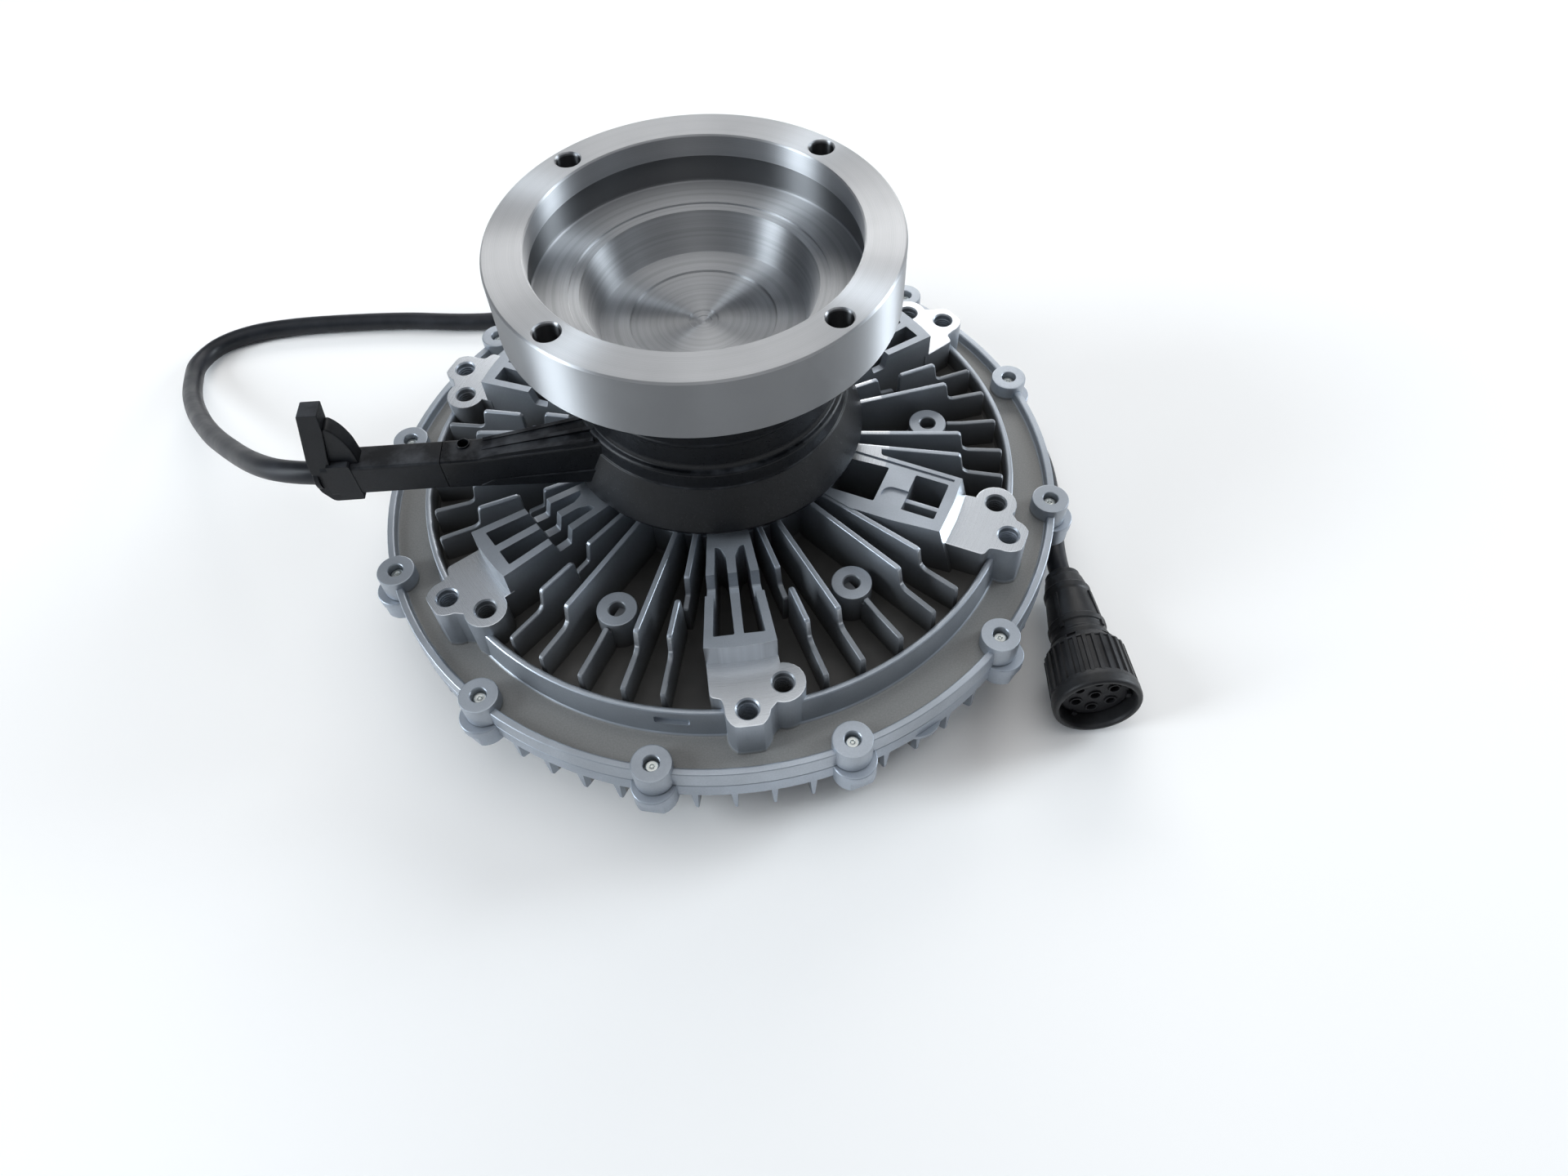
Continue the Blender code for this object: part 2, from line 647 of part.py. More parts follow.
def heavy_frame():
    """The frame with solid flanks, an inner pocket, a dimpled plate and a split pocket."""
    end = PAD_INNER + HEAVY_END_LAP
    outline = [
        (-HEAVY_HUB_HALF, FRAME_INNER),
        (HEAVY_HUB_HALF, FRAME_INNER),
        (HEAVY_WEDGE_HALF, HEAVY_WEDGE_END - 1.5),
        (HEAVY_FAR, HEAVY_WEDGE_END),
        (HEAVY_FAR, end),
        (0.0, end + 0.6),
        (1.6 - HEAVY_NEAR, end),
        (-HEAVY_NEAR, end - 22.0),
        (-HEAVY_NEAR, HEAVY_WEDGE_END),
        (-HEAVY_WEDGE_HALF, HEAVY_WEDGE_END - 1.5),
    ]
    pocket_end = PAD_INNER - HEAVY_END_WALL
    middle = (HEAVY_POCKET_START + pocket_end) / 2 + HEAVY_PLATE_SHIFT
    plate_inner = middle - HEAVY_PLATE_LENGTH / 2
    plate_outer = middle + HEAVY_PLATE_LENGTH / 2
    place = radial(HEAVY_AZIMUTH)
    shape = bmesh.new()
    prism_into(shape, outline, WEB_TOP - 1.0, HEAVY_TOP, place)
    frame = finish_object(shape, "tool_heavy_frame", None)
    floor = WEB_TOP + 0.6
    inner_pocket = [
        (-HEAVY_POCKET_NEAR, HEAVY_POCKET_START),
        (HEAVY_POCKET_FAR_INNER, HEAVY_POCKET_START),
        (HEAVY_POCKET_FAR - 1.2, plate_inner),
        (-HEAVY_POCKET_NEAR, plate_inner),
    ]
    shape = bmesh.new()
    prism_into(shape, inner_pocket, floor, HEAVY_TOP + 1.0, place)
    outer_pocket = box_outline(-HEAVY_POCKET_NEAR, HEAVY_POCKET_FAR, plate_outer, pocket_end)
    prism_into(shape, outer_pocket, floor, HEAVY_TOP + 1.0, place)
    boolean(frame, finish_object(shape, "cut_heavy_pockets", None), "DIFFERENCE")
    left = HEAVY_BAR_SIDE - HEAVY_BAR / 2
    right = HEAVY_BAR_SIDE + HEAVY_BAR / 2
    shape = bmesh.new()
    bar = box_outline(left, right, plate_outer - 1.0, pocket_end + 1.0)
    prism_into(shape, bar, floor - 0.5, HEAVY_TOP - HEAVY_BAR_DROP, place)
    boolean(frame, finish_object(shape, "tool_heavy_bar", None), "UNION")
    shape = bmesh.new()
    dimple = circle(HEAVY_DIMPLE_RADIUS, SMALL_COUNT, (HEAVY_DIMPLE_SIDE, middle))
    prism_into(shape, dimple, HEAVY_TOP - HEAVY_DIMPLE_DEPTH, HEAVY_TOP + 1.0, place)
    boolean(frame, finish_object(shape, "cut_heavy_dimple", None), "DIFFERENCE")
    return frame


def pad_outline():
    """Two-lobed outline of a fan boss, +Y outward."""
    outer, inner = FAN_HOLE_OUTER, FAN_HOLE_INNER
    bridge = math.degrees(math.atan2(inner[1] - outer[1], inner[0] - outer[0]))
    points = [(-PAD_HALF_WIDTH, PAD_INNER), (-PAD_HALF_WIDTH + 0.2, outer[1] - 5.4)]
    points += [(-FAN_LOBE_RADIUS + 0.2, outer[1] - 4.4)]
    points += arc(outer, FAN_LOBE_RADIUS, 190.0, bridge + 36.0, 6)
    points += arc(inner, FAN_LOBE_RADIUS, 180.0 + bridge - 36.0, -84.0, 6)
    points += [(PAD_HALF_WIDTH, PAD_INNER)]
    return points[::-1]


def pad_shapes():
    shape = bmesh.new()
    for sector in sector_angles():
        prism_into(shape, pad_outline(), TROUGH_TOP - 2.0, PAD_HEIGHT, radial(sector))
    return finish_object(shape, "tool_pads", None)


def fan_hole_centres():
    centres = []
    for sector in sector_angles():
        place = radial(sector)
        for x, y in (FAN_HOLE_OUTER, FAN_HOLE_INNER):
            spot = place @ Vector((x, y, 0.0))
            centres.append((spot.x, spot.y))
    return centres


def build_rear_housing(paint):
    housing = turned("rear_housing", housing_profile(), paint)
    boolean(housing, housing_fins(), "UNION")
    boolean(housing, frame_shapes(), "UNION")
    boolean(housing, heavy_frame(), "UNION")
    boolean(housing, pad_shapes(), "UNION")
    pillars = [on_circle(PILLAR_CIRCLE, a) for a in sector_angles(FIN_ANGLE_PILLAR)]
    post_base = WEB_TOP - 1.0
    tool = posts("tool_pillars", pillars, PILLAR_RADIUS, post_base, PILLAR_TOP, SMALL_COUNT)
    boolean(housing, tool, "UNION")
    lugs = [on_circle(LUG_CIRCLE, a) for a in lug_angles()]
    lug_posts = posts("tool_lugs", lugs, LUG_RADIUS, SPLIT_HEIGHT, LUG_TOP, SMALL_COUNT)
    boolean(housing, lug_posts, "UNION")
    cutters = bmesh.new()
    hole = SCREW_RADIUS + FIT
    for x, y in lugs:
        bore = circle(hole, 8, (x, y))
        prism_into(cutters, bore, SPLIT_HEIGHT - 1.0, LUG_TOP + 1.0)
    for x, y in fan_hole_centres():
        bore = circle(FAN_HOLE_RADIUS, 8, (x, y))
        prism_into(cutters, bore, PAD_HEIGHT - FAN_HOLE_DEPTH, PAD_HEIGHT + 1.0)
    for x, y in pillars:
        bore = circle(PILLAR_HOLE_RADIUS, 8, (x, y))
        prism_into(cutters, bore, PILLAR_TOP - PILLAR_HOLE_DEPTH, PILLAR_TOP + 1.0)
    boolean(housing, finish_object(cutters, "cut_holes", None), "DIFFERENCE")
    return housing


# ---- Front cover ----


def cover_profile():
    """Section of the cover from the axis outward along its inside and back below."""
    ledge = COVER_FLOOR - PLATE_LEDGE / 2
    plate_seat = COVER_RESERVOIR_RADIUS + PLATE_LEDGE
    groove_in = SEAL_RADIUS - SEAL_THICKNESS / 2 - FIT
    groove_out = SEAL_RADIUS + SEAL_THICKNESS / 2 + FIT
    groove_floor = COVER_TOP - SEAL_THICKNESS
    return [
        (0.0, COVER_RESERVOIR_FLOOR),
        (COVER_RESERVOIR_RADIUS, COVER_RESERVOIR_FLOOR),
        (COVER_RESERVOIR_RADIUS, ledge),
        (plate_seat, ledge),
        (plate_seat, COVER_FLOOR),
        (CHAMBER_RADIUS, COVER_FLOOR),
        (CHAMBER_RADIUS, COVER_TOP),
        (groove_in, COVER_TOP),
        (groove_in, groove_floor),
        (groove_out, groove_floor),
        (groove_out, COVER_TOP),
        (RING_RADIUS, COVER_TOP),
        (RING_RADIUS, COVER_TOP - COVER_RING_DEPTH),
        (COVER_BODY_RADIUS, COVER_TOP - COVER_RING_DEPTH),
        (COVER_BODY_RADIUS, COVER_FLOOR - COVER_WALL),
        (plate_seat + COVER_WALL, COVER_FLOOR - COVER_WALL),
        (COVER_RESERVOIR_RADIUS, COVER_RESERVOIR_FLOOR - COVER_WALL),
        (COVER_HUB_RADIUS + 4.0, COVER_RESERVOIR_FLOOR - COVER_WALL),
        (COVER_HUB_RADIUS, 1.0),
        (COVER_HUB_RADIUS - 1.0, 0.0),
        (0.0, 0.0),
    ]


def cover_fins():
    shape = bmesh.new()
    profile = [
        (COVER_FIN_INNER, COVER_FLOOR - COVER_WALL + 1.0),
        (COVER_FIN_INNER, COVER_FIN_FOOT),
        (COVER_FIN_FOOT_RADIUS, COVER_FIN_FOOT),
        (COVER_FIN_OUTER, COVER_FIN_TIP_HEIGHT),
        (COVER_FIN_OUTER, COVER_TOP - COVER_RING_DEPTH + 1.0),
        (COVER_BODY_RADIUS - 1.0, COVER_TOP - COVER_RING_DEPTH + 1.0),
        (COVER_BODY_RADIUS - 1.0, COVER_FLOOR - COVER_WALL + 1.0),
    ]
    top = max(z for _, z in profile)
    draft = (COVER_FIN_THICKNESS - COVER_FIN_TIP_THICKNESS) / 2 / (top - COVER_FIN_FOOT)
    pitch = 360.0 / COVER_FIN_COUNT
    lug_pitch = 360.0 / LUG_COUNT
    for i in range(COVER_FIN_COUNT):
        angle = COVER_FIN_PHASE + i * pitch
        from_lug = (angle - LUG_PHASE + lug_pitch / 2) % lug_pitch - lug_pitch / 2
        if abs(from_lug) > pitch / 2:
            wall_into(shape, profile, COVER_FIN_THICKNESS, -draft, turn_z(angle))
    return finish_object(shape, "tool_cover_fins", None)


def build_front_cover(paint):
    cover = turned("front_cover", cover_profile(), paint)
    boolean(cover, cover_fins(), "UNION")
    inner = SEAL_RADIUS + 2.5
    outline = [(inner, -COVER_LUG_RADIUS)]
    outline += arc((COVER_LUG_CIRCLE, 0.0), COVER_LUG_RADIUS, -90.0, 90.0, 7)
    outline += [(inner, COVER_LUG_RADIUS)]
    shape = bmesh.new()
    for angle in lug_angles():
        prism_into(shape, outline, COVER_LUG_BASE, COVER_TOP, turn_z(angle))
    boolean(cover, finish_object(shape, "tool_cover_lugs", None), "UNION")
    lump_spot = on_circle(RING_RADIUS - 8.0, BALANCE_LUMP_ANGLE)
    lump_base = COVER_LUG_BASE + 1.0
    lump_top = COVER_TOP - COVER_RING_DEPTH + 2.0
    lump = posts("tool_lump", [lump_spot], 10.0, lump_base, lump_top, SMALL_COUNT)
    boolean(cover, lump, "UNION")
    cutters = bmesh.new()
    for angle in lug_angles():
        bore = circle(SCREW_RADIUS + FIT, 8, on_circle(LUG_CIRCLE, angle))
        prism_into(cutters, bore, COVER_LUG_BASE - 1.0, COVER_TOP + 1.0)
    boolean(cover, finish_object(cutters, "cut_cover_holes", None), "DIFFERENCE")
    return cover


def build_screws(paint):
    """Screws that enter from the cover side, with their tips just inside the lugs."""
    neck = COVER_LUG_BASE - FIT
    tip = LUG_TOP - SCREW_TIP_DEPTH
    profile = [
        (0.0, neck - SCREW_HEAD_HEIGHT),
        (SCREW_HEAD_RADIUS, neck - SCREW_HEAD_HEIGHT),
        (SCREW_HEAD_RADIUS, neck),
        (SCREW_RADIUS, neck),
        (SCREW_RADIUS, tip),
        (0.0, tip),
    ]
    for number, angle in enumerate(lug_angles(), 1):
        screw = turned(f"cover_screw_{number:02d}", profile, paint, 8)
        x, y = on_circle(LUG_CIRCLE, angle)
        screw.location = (x * MM, y * MM, 0.0)


def build_seal(paint):
    half = SEAL_THICKNESS / 2
    middle = COVER_TOP - half
    profile = [
        (SEAL_RADIUS + half * 0.9, middle),
        (SEAL_RADIUS, COVER_TOP - 0.05),
        (SEAL_RADIUS - half * 0.9, middle),
        (SEAL_RADIUS, COVER_TOP - SEAL_THICKNESS + 0.2),
    ]
    return turned("cover_seal", profile, paint, LARGE_COUNT, 60.0)


def build_reservoir_plate(paint):
    base = COVER_FLOOR - PLATE_LEDGE / 2 + FIT
    radius = COVER_RESERVOIR_RADIUS + PLATE_LEDGE - FIT
    plate = prism(
        "reservoir_plate",
        circle(radius, LARGE_COUNT, phase=math.pi / LARGE_COUNT),
        base,
        base + PLATE_THICKNESS,
        paint,
    )
    cutter = bmesh.new()
    port = circle(VALVE_PORT, 10, (VALVE_PORT_RADIUS, 0.0))
    prism_into(cutter, port, base - 1.0, base + PLATE_THICKNESS + 1.0)
    pin = circle(VALVE_PIN_RADIUS + FIT, 10, (VALVE_PIVOT_RADIUS, 0.0))
    prism_into(cutter, pin, base - 1.0, base + PLATE_THICKNESS + 1.0)
    boolean(plate, finish_object(cutter, "cut_ports", None), "DIFFERENCE")
    return plate


def build_valve(lever_paint, armature_paint, pin_paint):
    """Lever over the port on a headed pin, with the armature that the coil pulls."""
    plate_base = COVER_FLOOR - PLATE_LEDGE / 2 + FIT
    top = plate_base - FIT
    base = top - VALVE_LEVER_THICKNESS
    half = VALVE_LEVER_WIDTH / 2
    reach = VALVE_PORT_RADIUS - VALVE_PIVOT_RADIUS
    outline = [(-18.0, -half), (reach, -half), (reach + half, 0.0), (reach, half)]
    outline.append((-18.0, half))
    lever = prism("valve_lever", outline, base, top, lever_paint)
    cutter = prism(
        "cut_lever_eye", circle(VALVE_PIN_RADIUS + FIT, 10), base - 1.0, top + 1.0, None
    )
    boolean(lever, cutter, "DIFFERENCE")
    armature = prism(
        "valve_armature",
        box_outline(-18.0, -7.0, -half - 2.0, half + 2.0),
        base - FIT - 3.0,
        base - FIT,
        armature_paint,
    )
    for obj in (lever, armature):
        obj.location.x = VALVE_PIVOT_RADIUS * MM
    head = VALVE_PIN_RADIUS + 2.0
    pin_top = plate_base + PLATE_THICKNESS + FIT
    profile = [
        (0.0, base - FIT - 1.0),
        (head, base - FIT - 1.0),
        (head, base - FIT),
        (VALVE_PIN_RADIUS, base - FIT),
        (VALVE_PIN_RADIUS, pin_top),
        (head, pin_top),
        (head, pin_top + 0.8),
        (0.0, pin_top + 0.8),
    ]
    pin = turned("valve_pin", profile, pin_paint, 10)
    pin.location.x = VALVE_PIVOT_RADIUS * MM


# ---- Shaft, rotor and bearings ----


def drive_profile():
    """Section of the cup and shaft, from the floor of the bowl outward and down."""
    undercut = SPIGOT_RADIUS + UNDERCUT
    spigot_floor = FLANGE_TOP - SPIGOT_DEPTH
    under = FLANGE_TOP - FLANGE_DEPTH
    ring = BOWL_FLOOR_RADIUS - FLOOR_RING_WIDTH
    step_floor = LEDGE_HEIGHT - LEDGE_STEP_DEPTH
    return [
        (0.0, BOWL_FLOOR - FLOOR_RING_DEPTH - DIMPLE_DEPTH),
        (DIMPLE_RADIUS, BOWL_FLOOR - FLOOR_RING_DEPTH),
        (ring - 1.0, BOWL_FLOOR - FLOOR_RING_DEPTH),
        (ring, BOWL_FLOOR),
        (BOWL_FLOOR_RADIUS, BOWL_FLOOR),
        (LEDGE_INNER_RADIUS, step_floor),
        (LEDGE_INNER_RADIUS + LEDGE_STEP_WIDTH, step_floor),
        (LEDGE_INNER_RADIUS + LEDGE_STEP_WIDTH, LEDGE_HEIGHT),
        (undercut, LEDGE_HEIGHT),
        (undercut, spigot_floor),
        (SPIGOT_RADIUS, spigot_floor),
        (SPIGOT_RADIUS, FLANGE_TOP),
        (FLANGE_RADIUS - FLANGE_CHAMFER, FLANGE_TOP),
        (FLANGE_RADIUS, FLANGE_TOP - FLANGE_CHAMFER),
        (FLANGE_RADIUS, under),
        (NECK_RADIUS + 10.0, under),
        (NECK_RADIUS, under - 8.0),
        (NECK_RADIUS - 2.0, NECK_BASE),
        (SHAFT_SHOULDER_RADIUS, NECK_BASE),
        (SHAFT_SHOULDER_RADIUS, SHAFT_SHOULDER),
        (SHAFT_SEAT_RADIUS, SHAFT_SHOULDER),
        (SHAFT_SEAT_RADIUS, MAIN_BEARING_BASE),
        (ROTOR_SEAT_RADIUS, MAIN_BEARING_BASE),
        (ROTOR_SEAT_RADIUS, ROTOR_HUB_BASE),
        (SHAFT_THREAD_RADIUS, ROTOR_HUB_BASE),
        (SHAFT_THREAD_RADIUS, NUT_BASE),
        (0.0, NUT_BASE),
    ]


def build_drive_flange(paint):
    flange = turned("drive_flange", drive_profile(), paint)
    cutters = bmesh.new()
    top, under = FLANGE_TOP + 1.0, FLANGE_TOP - FLANGE_DEPTH - 12.0
    for i in range(4):
        spot = on_circle(FLANGE_BOLT_CIRCLE, FLANGE_BOLT_PHASE + 90.0 * i)
        steps = [
            (FLANGE_BOLT_RADIUS, under),
            (FLANGE_BOLT_RADIUS, FLANGE_TOP - 1.0),
            (FLANGE_BOLT_RADIUS + 2.0, top),
        ]
        stepped_into(cutters, spot, steps, SMALL_COUNT)
    boolean(flange, finish_object(cutters, "cut_flange_holes", None), "DIFFERENCE")
    return flange


def groove_profile(ball_circle, ball_radius, face, outer, base, width, side):
    """A race between its own bore or rim and a groove that clears the balls."""
    middle = base + width / 2
    clear = ball_radius + FIT
    reach = abs(face - ball_circle)
    half = math.sqrt(clear * clear - reach * reach)
    deep = ball_circle + side * clear * 1.02
    return [
        (outer, base),
        (face, base),
        (face, middle - half),
        (deep, middle - half * 0.45),
        (deep, middle + half * 0.45),
        (face, middle + half),
        (face, base + width),
        (outer, base + width),
    ]


def build_bearing(prefix, base, width, radius, ball, balls, race_paint, cage_paint):
    bore = SHAFT_SEAT_RADIUS + FIT
    ball_circle = (bore + radius) / 2
    inner_face = ball_circle - ball * 0.62
    outer_face = ball_circle + ball * 0.62
    inner = groove_profile(ball_circle, ball, inner_face, bore, base, width, -1.0)
    outer = groove_profile(ball_circle, ball, outer_face, radius, base, width, 1.0)
    turned(prefix + "_inner_race", inner, race_paint, MIDDLE_COUNT)
    turned(prefix + "_outer_race", outer, race_paint, MIDDLE_COUNT)
    middle = base + width / 2
    gap = ball * 0.3
    ring = [
        (ball_circle - gap, middle - ball * 0.5),
        (ball_circle + gap, middle - ball * 0.5),
        (ball_circle + gap, middle + ball * 0.5),
        (ball_circle - gap, middle + ball * 0.5),
    ]
    cage = turned(prefix + "_cage", ring, cage_paint, 2 * balls)
    shape = bmesh.new()
    for i in range(balls):
        x, y = on_circle(ball_circle, 360.0 * i / balls)
        place = Matrix.Translation((x, y, middle))
        bmesh.ops.create_uvsphere(
            shape, u_segments=6, v_segments=4, radius=ball, matrix=place
        )
    boolean(cage, finish_object(shape, "tool_balls_" + prefix, None), "UNION")


def build_spacer(paint):
    bore = SHAFT_SEAT_RADIUS + FIT
    profile = [
        (bore, SPACER_BASE),
        (bore + SPACER_WALL, SPACER_BASE),
        (bore + SPACER_WALL, SPACER_TOP),
        (bore, SPACER_TOP),
    ]
    turned("bearing_spacer", profile, paint, MIDDLE_COUNT)


def build_circlip(name, bore, base, segments, paint):
    """A snap ring in a groove of the bore, open at one side."""
    outer = bore + CIRCLIP_BITE
    inner = outer - CIRCLIP_WIDTH
    ends = (8.0, 352.0)
    steps = segments
    outline = arc((0.0, 0.0), outer, ends[0], ends[1], steps)
    outline += arc((0.0, 0.0), inner, ends[1], ends[0], steps)
    return prism(name, outline, base, base + CIRCLIP_THICKNESS, paint)


def build_rotor(paint, nut_paint):
    bore = ROTOR_SEAT_RADIUS + FIT
    land_top = WEB_UNDERSIDE + LAND_DEPTH - RUN
    profile = [
        (bore, ROTOR_HUB_BASE),
        (bore, ROTOR_HUB_TOP),
        (ROTOR_HUB_RADIUS, ROTOR_HUB_TOP),
        (ROTOR_HUB_RADIUS, ROTOR_TOP),
    ]
    for land in LAND_RADII:
        half = LAND_WIDTH / 2
        profile += [
            (land - half, ROTOR_TOP),
            (land - half, land_top),
            (land + half, land_top),
            (land + half, ROTOR_TOP),
        ]
    recess = NUT_RADIUS + 3.0
    profile += [
        (ROTOR_RADIUS, ROTOR_TOP),
        (ROTOR_RADIUS, ROTOR_UNDERSIDE),
        (recess, ROTOR_UNDERSIDE),
        (recess, ROTOR_HUB_BASE),
    ]
    turned("rotor_disc", profile, paint, MIDDLE_COUNT)
    nut = prism("rotor_nut", circle(NUT_RADIUS, 6), NUT_BASE, NUT_TOP, nut_paint)
    thread = circle(SHAFT_THREAD_RADIUS + FIT, MIDDLE_COUNT)
    cutter = prism("cut_nut_bore", thread, NUT_BASE - 1.0, NUT_TOP + 1.0, None)
    boolean(nut, cutter, "DIFFERENCE")


# ---- Coil ----


def coil_profile():
    inner = CORE_RADIUS + FIT
    return [
        (SHAFT_SHOULDER_RADIUS + 2 * RUN, CORE_TOP + FIT),
        (inner, CORE_TOP + FIT),
        (inner, COIL_STEP_HEIGHT - 4.0),
        (COIL_SKIRT_RADIUS - COIL_WALL - 1.5, COIL_SKIRT_HEIGHT),
        (COIL_SKIRT_RADIUS, COIL_SKIRT_HEIGHT),
        (COIL_STEP_RADIUS + 4.2, COIL_SKIRT_HEIGHT + 13.0),
        (COIL_STEP_RADIUS + 1.2, COIL_STEP_HEIGHT - 4.0),
        (COIL_STEP_RADIUS, COIL_STEP_HEIGHT - 0.6),
        (COIL_STEP_RADIUS - 0.6, COIL_STEP_HEIGHT),
        (COIL_NECK_RADIUS, COIL_STEP_HEIGHT),
        (COIL_NECK_RADIUS, COIL_TOP - 1.0),
        (COIL_NECK_RADIUS - 1.0, COIL_TOP),
        (SHAFT_SHOULDER_RADIUS + 2 * RUN, COIL_TOP),
    ]


def arm_place():
    return Matrix.Translation((0.0, ARM_OFFSET, 0.0)) @ turn_z(ARM_YAW)


def side_plate_into(target, profile, low, high, matrix=None):
    """A plate from an (x, z) profile between two y values, which may differ by point."""
    lows = [low] * len(profile) if isinstance(low, float) else low
    highs = [high] * len(profile) if isinstance(high, float) else high
    near = [target.verts.new((x, y, z)) for (x, z), y in zip(profile, lows)]
    far = [target.verts.new((x, y, z)) for (x, z), y in zip(profile, highs)]
    target.faces.new(near)
    target.faces.new(far[::-1])
    for i in range(len(profile)):
        j = (i + 1) % len(profile)
        target.faces.new((near[j], near[i], far[i], far[j]))
    if matrix is not None:
        bmesh.ops.transform(target, matrix=matrix, verts=near + far)


def arm_body():
    """Arm that leaves the case at the shoulder and slopes down to the cable guide."""
    root, end = ARM_ROOT_WIDTH / 2, ARM_END_WIDTH / 2
    corners = [(ARM_ROOT + 4.0, -root), (ARM_KNEE, -end), (ARM_END, -end)]
    corners += [(ARM_END, end), (ARM_KNEE, end), (ARM_ROOT - 4.0, root)]
    shape = bmesh.new()
    low = [shape.verts.new((x, y, ARM_BASE)) for x, y in corners]
    high = []
    for x, y in corners:
        top = ARM_TOP if x >= ARM_KNEE else ARM_ROOT_TOP
        high.append(shape.verts.new((x, y, top)))
    shape.faces.new(low[::-1])
    for first, second, third, fourth in ((0, 1, 4, 5), (1, 2, 3, 4)):
        shape.faces.new((high[first], high[second], high[third], high[fourth]))
    for i in range(6):
        j = (i + 1) % 6
        shape.faces.new((low[i], low[j], high[j], high[i]))
    bmesh.ops.transform(shape, matrix=arm_place(), verts=shape.verts)
    return finish_object(shape, "tool_arm", None)


def arm_ribs():
    """Three ribs that run down the slope of the arm."""
    shape = bmesh.new()
    slope = (ARM_ROOT_TOP - ARM_TOP) / (ARM_KNEE - ARM_ROOT)
    start, finish = ARM_ROOT + 4.0, ARM_KNEE - 2.0
    foot = ARM_TOP - 2.0
    profile = [
        (start, foot),
        (finish, foot),
        (finish, ARM_TOP),
        (finish - 4.0, ARM_TOP + slope * (ARM_KNEE - finish + 4.0) + ARM_RIB),
        (start, ARM_TOP + slope * (ARM_KNEE - start) + ARM_RIB),
    ]
    for middle in (-0.36, 0.0, 0.36):
        root, end = middle * ARM_ROOT_WIDTH, middle * ARM_END_WIDTH
        centres = [root, end, end, end, root]
        low = [y - 0.8 for y in centres]
        high = [y + 0.8 for y in centres]
        side_plate_into(shape, profile, low, high, arm_place())
    return finish_object(shape, "tool_arm_ribs", None)


def build_coil(case_paint, core_paint, wire_paint):
    case = turned("coil_housing", coil_profile(), case_paint)
    boolean(case, arm_body(), "UNION")
    boolean(case, arm_ribs(), "UNION")
    shape = bmesh.new()
    half = ARM_SPIGOT_WIDTH / 2
    spigot = box_outline(ARM_END - 1.0, ARM_END + ARM_SPIGOT_LENGTH, -half, half)
    prism_into(shape, spigot, ARM_MIDDLE - half, ARM_MIDDLE + half, arm_place())
    boolean(case, finish_object(shape, "tool_spigot", None), "UNION")
    latch = LATCH_WIDTH / 2
    latch_x = ARM_END - 8.0
    hole = box_outline(latch_x - latch, latch_x + latch, -3.4, -3.4 + LATCH_WIDTH)
    shape = bmesh.new()
    prism_into(shape, hole, ARM_TOP - 4.0, ARM_TOP + 1.0, arm_place())
    boolean(case, finish_object(shape, "cut_latch", None), "DIFFERENCE")
    bore = COIL_BEARING_RADIUS + FIT
    inner = bore + CORE_WALL
    slot = CORE_RADIUS - CORE_WALL
    web = CORE_TOP - CORE_WEB
    lip = COIL_BEARING_RADIUS - 2.5
    clip = COIL_BEARING_BASE - FIT
    clip_low = clip - CIRCLIP_THICKNESS - 2 * FIT
    profile = [
        (bore, CORE_BASE),
        (inner, CORE_BASE),
        (inner, web),
        (slot, web),
        (slot, CORE_BASE),
        (CORE_RADIUS, CORE_BASE),
        (CORE_RADIUS, CORE_TOP),
        (lip, CORE_TOP),
        (lip, COIL_BEARING_TOP + FIT),
        (bore, COIL_BEARING_TOP + FIT),
        (bore, clip),
        (bore + CIRCLIP_BITE + FIT, clip),
        (bore + CIRCLIP_BITE + FIT, clip_low),
        (bore, clip_low),
    ]
    turned("coil_core", profile, core_paint, MIDDLE_COUNT)
    winding = [
        (inner + FIT, CORE_BASE + 1.0),
        (slot - FIT, CORE_BASE + 1.0),
        (slot - FIT, web - FIT),
        (inner + FIT, web - FIT),
    ]
    turned("coil_winding", winding, wire_paint, MIDDLE_COUNT)
    ring = [
        (HUB_RADIUS + FIT, WEB_TOP + HUB_FOOT_HEIGHT + FIT),
        (HUB_RADIUS + FIT + FLUX_RING_WALL, WEB_TOP + HUB_FOOT_HEIGHT + FIT),
        (HUB_RADIUS + FIT + FLUX_RING_WALL, HUB_TOP - 1.0),
        (HUB_RADIUS + FIT, HUB_TOP - 1.0),
    ]
    turned("flux_ring", ring, core_paint)


